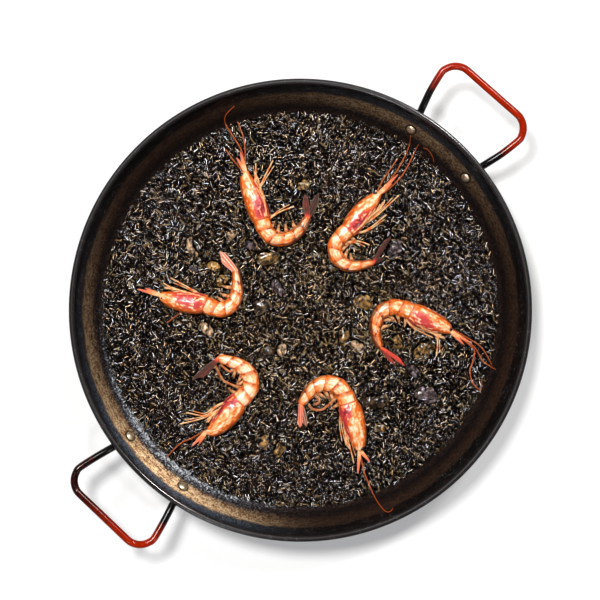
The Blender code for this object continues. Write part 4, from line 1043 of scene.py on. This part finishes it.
def add_tail_fan(piece, spec, tail):
    """Adds the two halves of the tail fan, each of two blades."""
    blade = np.array(FAN_BLADE) * (1.0, spec["fan_width"])
    for order, (tip, tint) in enumerate(zip(spec["fan"], spec["tail"])):
        end = np.array((*tip, tail[2] + 0.3))
        start = tail + (end - tail) * -0.08 + UP * (0.5 - 0.8 * order)
        marks = (LEAF, ribbed(spec["ribs"]), 0.4 * tint ** 2 * ease(0.2, 1.0, LEAF),
                 0.1 + 0.75 * tint * ease(0.0, 0.3, LEAF))
        for spread, rise in ((0.0, 0.0), (0.12, -0.5)):
            aside = np.cross(end - tail, UP) * (0.5 * spread * (1 if order else -1))
            stop = start + (end - start) * (1.0 - 1.2 * spread) + aside
            add_leaf(piece, start + UP * rise, stop + UP * rise, blade, FAN_THICKNESS, marks, ribs=3)


def add_legs(piece, spec, nose, rng):
    """Adds the legs that stretch out over the rice."""
    for points in spec["legs"]:
        share, line, radius = strand_line(points, LEG_RADII, 28, nose[2])
        add_strand(piece, line, radius * (1.0 + 0.22 * np.cos(3 * math.tau * share) ** 4), (share, 0.1, 0.1, -1.0))
        # The leg of the other side lies beside it.
        aside = rng.choice((-1.0, 1.0)) * (0.6 + rng.uniform(2.0, 3.6) * share ** 1.5)
        beside = line + directions(line)[1] * aside[:, None]
        beside[:, 2] = np.maximum(beside[:, 2] - 0.3, RICE_TOP + 0.6)
        add_strand(piece, beside[:25], radius[:25] * 0.6, (share[:25], 0.0, 0.15, -1.0))
    for points in spec.get("long_swimmers", ()):
        share, line, radius = strand_line(points, LONG_SWIMMER_RADII, 24, nose[2])
        for shift in (-0.9, 0.5):
            beside = line + directions(line)[1] * (shift * share)[:, None]
            add_strand(piece, beside, radius * 0.8, (share, 0.7, 0.35, -1.0))


def add_folded_legs(piece, spine, joint, girth, rng):
    """Adds the walking legs, which lie folded forward along the belly side of the carapace."""
    t = np.linspace(0.0, 1.0, 26)
    for k in range(FOLDED_LEGS):
        first, last = joint * (0.98 - 0.11 * k), joint * (0.34 - 0.1 * k + 0.08 * rng.random())
        share = np.linspace(first, max(last, 0.01), len(t))
        half = shape(CARAPACE_SHAPE, share / joint) * girth
        reach = half * (0.66 + 0.1 * k) + (0.8 + k) * ease(0.1, 1.0, t) + 0.8 * np.sin(math.pi * t)
        line = walk(spine, share) + headings(spine, share)[1] * reach[:, None]
        arch = np.sqrt(np.clip(1.0 - (reach / (half * 1.06)) ** 2, 0.0, 1.0))
        level = FOLDED_LEG_LEVEL + half * BODY_FLATNESS * arch - 0.5 * k * t
        line[:, 2] = np.maximum(level, RICE_TOP + 1.0)
        radius = (0.8 - 0.4 * t) * (1.0 + 0.25 * np.cos(3 * math.tau * t) ** 4)
        add_strand(piece, line, radius, (t, 0.0, 0.05, -1.0))


def add_swimmers(piece, spec, spine, joint):
    """Adds the swimmers below the rings of the abdomen. Some prawns' all trail one way."""
    for place in SWIMMER_PLACES:
        u = joint + (1.0 - joint) * place
        here, there = walk(spine, (u, u + 0.02))
        along = unit(there - here)
        inward = np.cross(UP, along)
        width = shape(ABDOMEN_SHAPE, place) * spec["girth"]
        lean = inward - along * SWIMMER_LEAN
        if "trail" in spec:
            lean = inward * SWIMMER_LEAN + (*aimed(spec["trail"]), 0.0)
        root = here + inward * width * 0.4 + UP * SWIMMER_ROOT_LEVEL
        tip = here + inward * width + unit(lean) * SWIMMER_LENGTH * spec["swimmers"] + UP * SWIMMER_TIP_LEVEL
        marks = (LEAF, 0.3, 0.4 + 0.25 * ease(0.4, 1.0, LEAF), -1.0)
        add_leaf(piece, root, tip, SWIMMER_SIZE, SWIMMER_THICKNESS, marks, ribs=1, bow=0.9)


def make_prawn(name, spec, shell, limb, eye):
    """A whole prawn lying on its side: shell, tail fan, head scales, feelers, legs, swimmers and eye."""
    rng = np.random.default_rng(int(name[-1]) * 13)
    nose, tail, joint, spine = make_shell(name, spec, shell)
    piece = Piece()
    add_tail_fan(piece, spec, tail)
    for order, tip in enumerate(spec["scales"]):
        end = np.array((*tip, nose[2]))
        start = nose + (end - nose) * -0.1 + UP * (0.5 - 0.9 * order)
        marks = (LEAF, ribbed(0.45), 0.2 * ease(0.6, 1.0, LEAF), 0.06 + 0.26 * ease(0.1, 0.9, LEAF))
        add_leaf(piece, start, end, SCALE_BLADE, SCALE_THICKNESS, marks)
    for points in spec["feelers"]:
        share, line, radius = strand_line(points, FEELER_RADII, 40, nose[2])
        add_strand(piece, line, radius, (share, 1.0, 0.25, -1.0))
    add_legs(piece, spec, nose, rng)
    add_folded_legs(piece, spine, joint, spec["girth"], rng)
    add_swimmers(piece, spec, spine, joint)
    turn = np.linspace(0.1, math.pi - 0.1, 12)
    line = np.array((*spec["eye"], nose[2] + 1.6)) - np.outer(np.cos(turn), (EYE_RADIUS, 0.0, 0.0))
    radius = EYE_RADIUS * np.sin(turn)
    piece.wrap(rings_round(line, radius, radius, 16), (0.0, 0.0, 0.0, 1.0), kind=1)
    piece.make(name + "_limbs", [limb, eye], "prawn_shell")


# ---- cuttlefish and rice -------------------------------------------------------------------------
def make_chunk(number, x, y, length, width, heading, kind, material):
    """An uneven, blunt chunk, bent along its length, with swells and folds."""
    rng = np.random.default_rng(100 + number)
    share = np.linspace(-0.5, 0.5, CHUNK_RINGS)
    rounding = np.sqrt(np.clip(1.0 - np.abs(share * 2) ** 4.5, 0.0, 1.0))
    lumps = 1.0 + 0.14 * np.sin(share * 9.0 + rng.uniform(0, 6)) * rng.uniform(0.4, 1.0)
    half = width / 2 * rounding * lumps * 0.96 + 0.05
    tall = (CHUNK_THICKNESS / 2 * (0.35 + 0.65 * rounding) + 0.05) * np.maximum(rounding, 0.05)
    c, s = aimed(heading)
    bow = (PALE_BEND if kind == "pale" else CHUNK_BEND) * length * (4 * share ** 2 - 0.5)
    line = np.outer(share * length, (c, s, 0.0)) + np.outer(bow, (-s, c, 0.0)) + (x, y, BED + CHUNK_THICKNESS / 2)
    rings = rings_round(line, half, tall, CHUNK_SIDES, 0.75)
    # Folds and swells of about a millimetre.
    relief = swells(rings * 0.24 + (number * 7.7, 0.0, 0.0)) + 0.5 * swells(rings * 0.6 + (0.0, number * 3.1, 0.0))
    outward = rings - line[:, None]
    outward /= np.maximum(np.linalg.norm(outward, axis=-1, keepdims=True), 0.2)
    rings += outward * (relief * 1.15 * rounding[:, None])[..., None]
    rings[..., 2] = np.minimum(rings[..., 2], BED + CHUNK_THICKNESS + 1.0)
    Piece().wrap(rings, (0.03 + 0.26 * relief, 0.0, 0.0, 1.0)).make(
        f"chunk_{number:02d}", [material], "cuttlefish_" + kind, f"cuttlefish_{number:02d}")


def make_core(paste):
    """The bed of starch and ink below the loose grains, out to the rice's own edge."""
    c, s = circle(CORE_SIDES)
    radius = np.concatenate((np.linspace(4.0, 188.0, 60), np.linspace(191.0, 199.5, 6)))[:, None]
    x, y = radius * c, radius * s
    level = RICE_LEVEL - CORE_DROP + RICE_WAVE * np.sin(x / 37.0 + 1.3) * np.cos(y / 29.0)
    top = stacked(x, y, level + 0.7 * swells(stacked(x * 0.2, y * 0.2, 0.0)))
    # Its edge lies close to the pan, and no higher than what the first grains fall on.
    radius, level = np.array(inner_profile(SHEET, GAP, 4)[::-1]).T[..., None]
    edge = stacked(radius * c, radius * s, np.minimum(level, RICE_LEVEL - 3.0))
    Piece().wrap(np.vstack((top, edge))[::-1], (0.0, 0.0, 0.0, 1.0)).make("rice_core", [paste], "ink_rice", "rice")


def cell_of(lengths):
    """The grid's cells in which lengths from its middle lie."""
    return (lengths / GRID_CELL + GRID_CELLS / 2).astype(int)


def covered(axis):
    """Where prawns hide the rice, on the grid."""
    hidden = np.zeros((len(axis), len(axis)), bool)
    for spec in PRAWNS.values():
        spine, _, loops = shell_stations(spec)
        for place, width in zip(walk(spine, loops[0])[:, :2], loops[1]):
            radius = width * spec["girth"] * 0.8
            reach = int(radius / GRID_CELL) + 1
            near_x, near_y = (slice(cell - reach, cell + reach + 1) for cell in cell_of(place))
            away = (axis[near_x, None] - place[0]) ** 2 + (axis[near_y] - place[1]) ** 2
            hidden[near_x, near_y] |= away < radius ** 2
    return hidden


def lay_grains(settings):
    """Drops grains one by one on the bed, on the chunks' edges and on those below, and returns where each lies."""
    rng = np.random.default_rng(settings.seed)
    axis = (np.arange(GRID_CELLS) - GRID_CELLS / 2) * GRID_CELL
    ground = np.maximum(FIRST_GROUND, wall_level(np.hypot(axis[:, None], axis)) + 0.5)
    rise = CHUNK_THICKNESS / 2
    for x, y, length, width, heading, _ in CHUNKS:
        c, s = aimed(heading)
        east, north = axis[:, None] - x, axis - y
        u, v = east * c + north * s, north * c - east * s
        swell = np.clip(1.0 - np.abs(2 * u / length) ** 3 - np.abs(2 * v / width) ** 3, 0.0, 1.0)
        ground = np.maximum(ground, np.where(swell > 0, BED + rise + rise * np.sqrt(swell), 0.0))
    hidden = covered(axis)
    half, thick = settings.grain_length / METRES / 2, settings.grain_width / METRES / 2
    steps, sides = np.linspace(-0.92, 0.92, 9)[:, None], np.array((-0.6, 0.0, 0.6))
    roof = np.sqrt(np.clip(1.0 - steps ** 2 * 0.8 - sides ** 2 * 0.8, 0.05, 1.0))
    laid = []

    def lay(x, y, limit):
        """Lays one grain at a place, unless it would come to lie too high."""
        turn = rng.random() * math.tau
        long, wide = half * rng.normal(1.0, 0.09), thick * rng.normal(1.0, 0.07)
        c, s = math.cos(turn), math.sin(turn)
        cells = cell_of(x + c * steps * long - s * sides * wide), cell_of(y + s * steps * long + c * sides * wide)
        below = ground[cells]
        slope = float(np.clip((below[6:].mean() - below[:3].mean()) / (1.3 * long), -STEEPEST, STEEPEST))
        rest = float((below[:, 1] - slope * steps[:, 0] * long).max()) - 0.5
        tall = wide * 0.88
        if rest + 2 * tall + abs(slope) * long * 0.4 <= limit:
            np.maximum.at(ground, cells, rest + tall + slope * steps * long + tall * roof)
            laid.append((x, y, rest + tall, turn, slope, long, wide, tall))

    for _ in range(settings.grains * 8):
        if len(laid) >= settings.grains:
            break
        # Of three places drawn, the lowest is filled.
        spots = (rng.random((3, 2)) * 2 - 1) * (RICE_EDGE_RADIUS + 0.5)
        cells = tuple(cell_of(spots).T)
        allowed = (np.hypot(*spots.T) < RICE_EDGE_RADIUS) & ~hidden[cells]
        best = np.where(allowed, ground[cells], np.inf).argmin()
        if allowed[best]:
            lay(*spots[best], RICE_TOP + 0.5)
    # A few more cling to the chunks, mostly round their edges.
    for x, y, length, width, heading, kind in CHUNKS:
        for _ in range(int(length * width / CLINGING.get(kind, CLINGING_ELSE))):
            bearing, reach = rng.random() * math.tau, rng.uniform(0.3, 0.56)
            u, v = swung(reach * length * math.cos(bearing), reach * width * math.sin(bearing), math.radians(heading))
            lay(x + u, y + v, RICE_TOP + 4.0)
    return np.array(laid), rng


def make_grains(settings, wet_rice):
    """The loose grains in four parts, each a joined mesh of blunt, slightly bent grains at true size."""
    laid, rng = lay_grains(settings)
    c, s = circle(GRAIN_SIDES)
    place, girth, facing_out = np.array(GRAIN_STATIONS).T[..., None]
    body, faces = skin(stacked(place, girth * c, girth * s))
    facing, _ = skin(stacked(facing_out, c, s))
    body[-2:] = facing[-2:] = (-1.0, 0.0, 0.0), (1.0, 0.0, 0.0)
    quads, caps = faces[:-2 * GRAIN_SIDES], faces[-2 * GRAIN_SIDES:]
    triangles = np.array([quad[:3] for quad in quads] + [(quad[0], *quad[2:]) for quad in quads] + caps)

    heading, slope, long, wide, tall = laid.T[3:, :, None]
    roll = rng.random((len(laid), 1)) * math.tau
    bend = rng.normal(0.0, 0.16, (len(laid), 1))

    def laid_down(a, b, c):
        """Turns lengths along, across and above each grain the way that grain lies."""
        out, rise = swung(a, c, np.arctan(slope))
        return np.stack((*swung(out, b, heading), rise), axis=-1)

    a, b, c = body.T[:, None]
    b, c = swung(b, c, roll)
    points = laid_down(a * long, b * wide + bend * wide * 2.2 * (a ** 2 - 0.4), c * tall) + laid[:, None, :3]
    # A grain is as good as straight for most of its length, so its light runs along it in a line.
    e, f, g = facing.T[:, None]
    f, g = swung(f, g, roll)
    normals = laid_down(e - bend * wide * 4.4 * a / long * f, f, g)

    away = np.hypot(*laid.T[:2])
    tone = rng.random(len(laid)) ** 2.6
    # Fewer grains stay dark near the middle, where the chunks lie.
    chance = 0.02 + 0.05 * (1.0 - ease(70.0, 150.0, away))
    pale = np.clip((rng.random(len(laid)) - 1.0 + chance) * 5.0, 0.0, 0.5)
    # Some wet skins shine bluish and others golden, more of them golden near the middle.
    golden = np.clip(rng.random(len(laid)) + 0.25 * (1.0 - ease(60.0, 170.0, away)), 0.0, 1.0)
    marks = np.repeat(stacked(tone, pale, golden, 1.0)[:, None], len(body), axis=1)
    quarter = (laid[:, 0] > 0) * 2 + (laid[:, 1] > 0)
    for part in range(4):
        chosen = quarter == part
        faces = triangles + (np.arange(chosen.sum()) * len(body))[:, None, None]
        mesh = shaped(f"rice_grains_{part + 1}", points[chosen].reshape(-1, 3), faces.reshape(-1, 3).tolist(),
                      marks[chosen], [wet_rice])
        mesh.normals_split_custom_set_from_vertices(normals[chosen].reshape(-1, 3))
        settle(mesh, "ink_rice")


# ---- operators -----------------------------------------------------------------------------------
class RICEPAN_OT_pan(bpy.types.Operator):
    """Build the enamelled pan"""
    bl_idname = "ricepan.pan"
    bl_label = "Pan"

    def execute(self, context):
        make_pan(context.scene.rice_pan.pan)
        return {"FINISHED"}


class RICEPAN_OT_handles(bpy.types.Operator):
    """Build the two handles and their rivets"""
    bl_idname = "ricepan.handles"
    bl_label = "Handles and rivets"

    def execute(self, context):
        settings = context.scene.rice_pan.pan
        paint, metal = scorched_enamel(settings), pressed_aluminium(settings)
        sheet = settings.sheet / METRES
        rivets = iter(range(1, 5))
        for name, heading in (("handle_a", HANDLE_TURN), ("handle_b", 180.0 - HANDLE_TURN)):
            make_handle(name, heading, paint, sheet)
            for side in (1, -1):
                make_rivet(f"rivet_{next(rivets)}", side, heading, metal, sheet)
        return {"FINISHED"}


class RICEPAN_OT_rice(bpy.types.Operator):
    """Build the bed of rice and its loose grains"""
    bl_idname = "ricepan.rice"
    bl_label = "Rice"

    def execute(self, context):
        settings = context.scene.rice_pan.rice
        make_core(ink_paste(settings))
        make_grains(settings, inked_rice(settings))
        return {"FINISHED"}


class RICEPAN_OT_prawns(bpy.types.Operator):
    """Build the six prawns and the loose feeler"""
    bl_idname = "ricepan.prawns"
    bl_label = "Prawns"

    def execute(self, context):
        settings = context.scene.rice_pan.prawns
        shell, limb, eye = cooked_shell(settings), cooked_limb(settings), boiled_eye(settings)
        for name, spec in PRAWNS.items():
            make_prawn(name, spec, shell, limb, eye)
        piece = Piece()
        share, line, radius = strand_line(LOOSE_FEELER, LOOSE_RADII, 20)
        add_strand(piece, line, radius, (share, 1.0, 0.5, -1.0))
        piece.make("loose_feeler_strand", [limb], "prawn_shell", "loose_feeler")
        return {"FINISHED"}


class RICEPAN_OT_cuttlefish(bpy.types.Operator):
    """Build the chunks of cuttlefish"""
    bl_idname = "ricepan.cuttlefish"
    bl_label = "Cuttlefish"

    def execute(self, context):
        settings = context.scene.rice_pan.cuttlefish
        kinds = {kind: stewed_cuttlefish(kind, getattr(settings, kind), settings.ink)
                 for kind in ("pale", "tan", "ochre", "purple", "dark")}
        for number, chunk in enumerate(CHUNKS, 1):
            make_chunk(number, *chunk, kinds[chunk[-1]])
        return {"FINISHED"}


class RICEPAN_OT_stage(bpy.types.Operator):
    """Set up the floor, the lights and the camera"""
    bl_idname = "ricepan.stage"
    bl_label = "Stage"

    def execute(self, context):
        settings = context.scene.rice_pan.stage
        mesh = bpy.data.meshes.new("floor")
        mesh.from_pydata([(x * FLOOR_HALF, y * FLOOR_HALF, -FLOOR_DROP)
                          for x, y in ((-1, -1), (1, -1), (1, 1), (-1, 1))], [], [(0, 1, 2, 3)])
        mesh.materials.append(lit_board(settings))
        floor = bpy.data.objects.new("floor", mesh)
        context.scene.collection.objects.link(floor)

        for name, (turn, rise, away, across, tint) in LAMPS.items():
            (east, north), (out, up) = aimed(turn - CAMERA_TURN), aimed(rise)
            lamp = bpy.data.lights.new(name, "AREA")
            lamp.shape, lamp.size, lamp.energy = "DISK", across, getattr(settings, name)
            lamp.color = linear(tint)
            lit = bpy.data.objects.new(name, lamp)
            lit.location = Vector((east * out, north * out, up)) * away
            lit.rotation_mode = "QUATERNION"
            lit.rotation_quaternion = lit.location.to_track_quat("Z", "Y")
            context.scene.collection.objects.link(lit)

        world = bpy.data.worlds.new("even_sky")
        world.use_nodes = True
        connect(world.node_tree.nodes["Background"], {"Color": linear("#F4F7FF"), "Strength": settings.sky})
        context.scene.world = world
        context.scene.view_settings.view_transform = "Standard"

        camera = bpy.data.cameras.new("camera")
        camera.lens = settings.lens
        shot = bpy.data.objects.new("camera", camera)
        shot.location = (CAMERA_X * METRES, CAMERA_Y * METRES, settings.camera_height)
        shot.rotation_euler = (0.0, 0.0, -math.radians(CAMERA_TURN))
        context.scene.collection.objects.link(shot)
        context.scene.camera = shot
        return {"FINISHED"}


class RicePanSettings(bpy.types.PropertyGroup):
    """All settings of the pan of rice."""
    pan: PointerProperty(type=PanSettings)
    rice: PointerProperty(type=RiceSettings)
    prawns: PointerProperty(type=PrawnSettings)
    cuttlefish: PointerProperty(type=CuttlefishSettings)
    stage: PointerProperty(type=StageSettings)


BUILDERS = (RICEPAN_OT_pan, RICEPAN_OT_handles, RICEPAN_OT_rice, RICEPAN_OT_prawns, RICEPAN_OT_cuttlefish,
            RICEPAN_OT_stage)


class RICEPAN_PT_panel(bpy.types.Panel):
    """Lists the builders of the pan of rice"""
    bl_label = "Rice pan"
    bl_idname = "RICEPAN_PT_panel"
    bl_space_type = "VIEW_3D"
    bl_region_type = "UI"
    bl_category = "Rice pan"

    def draw(self, context):
        for builder in BUILDERS:
            self.layout.operator(builder.bl_idname)
        for group in RicePanSettings.__annotations__:
            box = self.layout.box()
            box.label(text=group.title())
            settings = getattr(context.scene.rice_pan, group)
            for name in settings.__annotations__:
                box.prop(settings, name)


CLASSES = (PanSettings, RiceSettings, PrawnSettings, CuttlefishSettings, StageSettings, RicePanSettings,
           *BUILDERS, RICEPAN_PT_panel)


def register():
    """Registers the settings, the builders and the panel."""
    for kind in CLASSES:
        bpy.utils.register_class(kind)
    bpy.types.Scene.rice_pan = PointerProperty(type=RicePanSettings)


def unregister():
    """Takes them out again."""
    del bpy.types.Scene.rice_pan
    for kind in reversed(CLASSES):
        bpy.utils.unregister_class(kind)


def main():
    """Builds every piece."""
    register()
    bpy.ops.ricepan.pan()
    bpy.ops.ricepan.handles()
    bpy.ops.ricepan.rice()
    bpy.ops.ricepan.prawns()
    bpy.ops.ricepan.cuttlefish()
    bpy.ops.ricepan.stage()


if __name__ == "__main__":
    main()
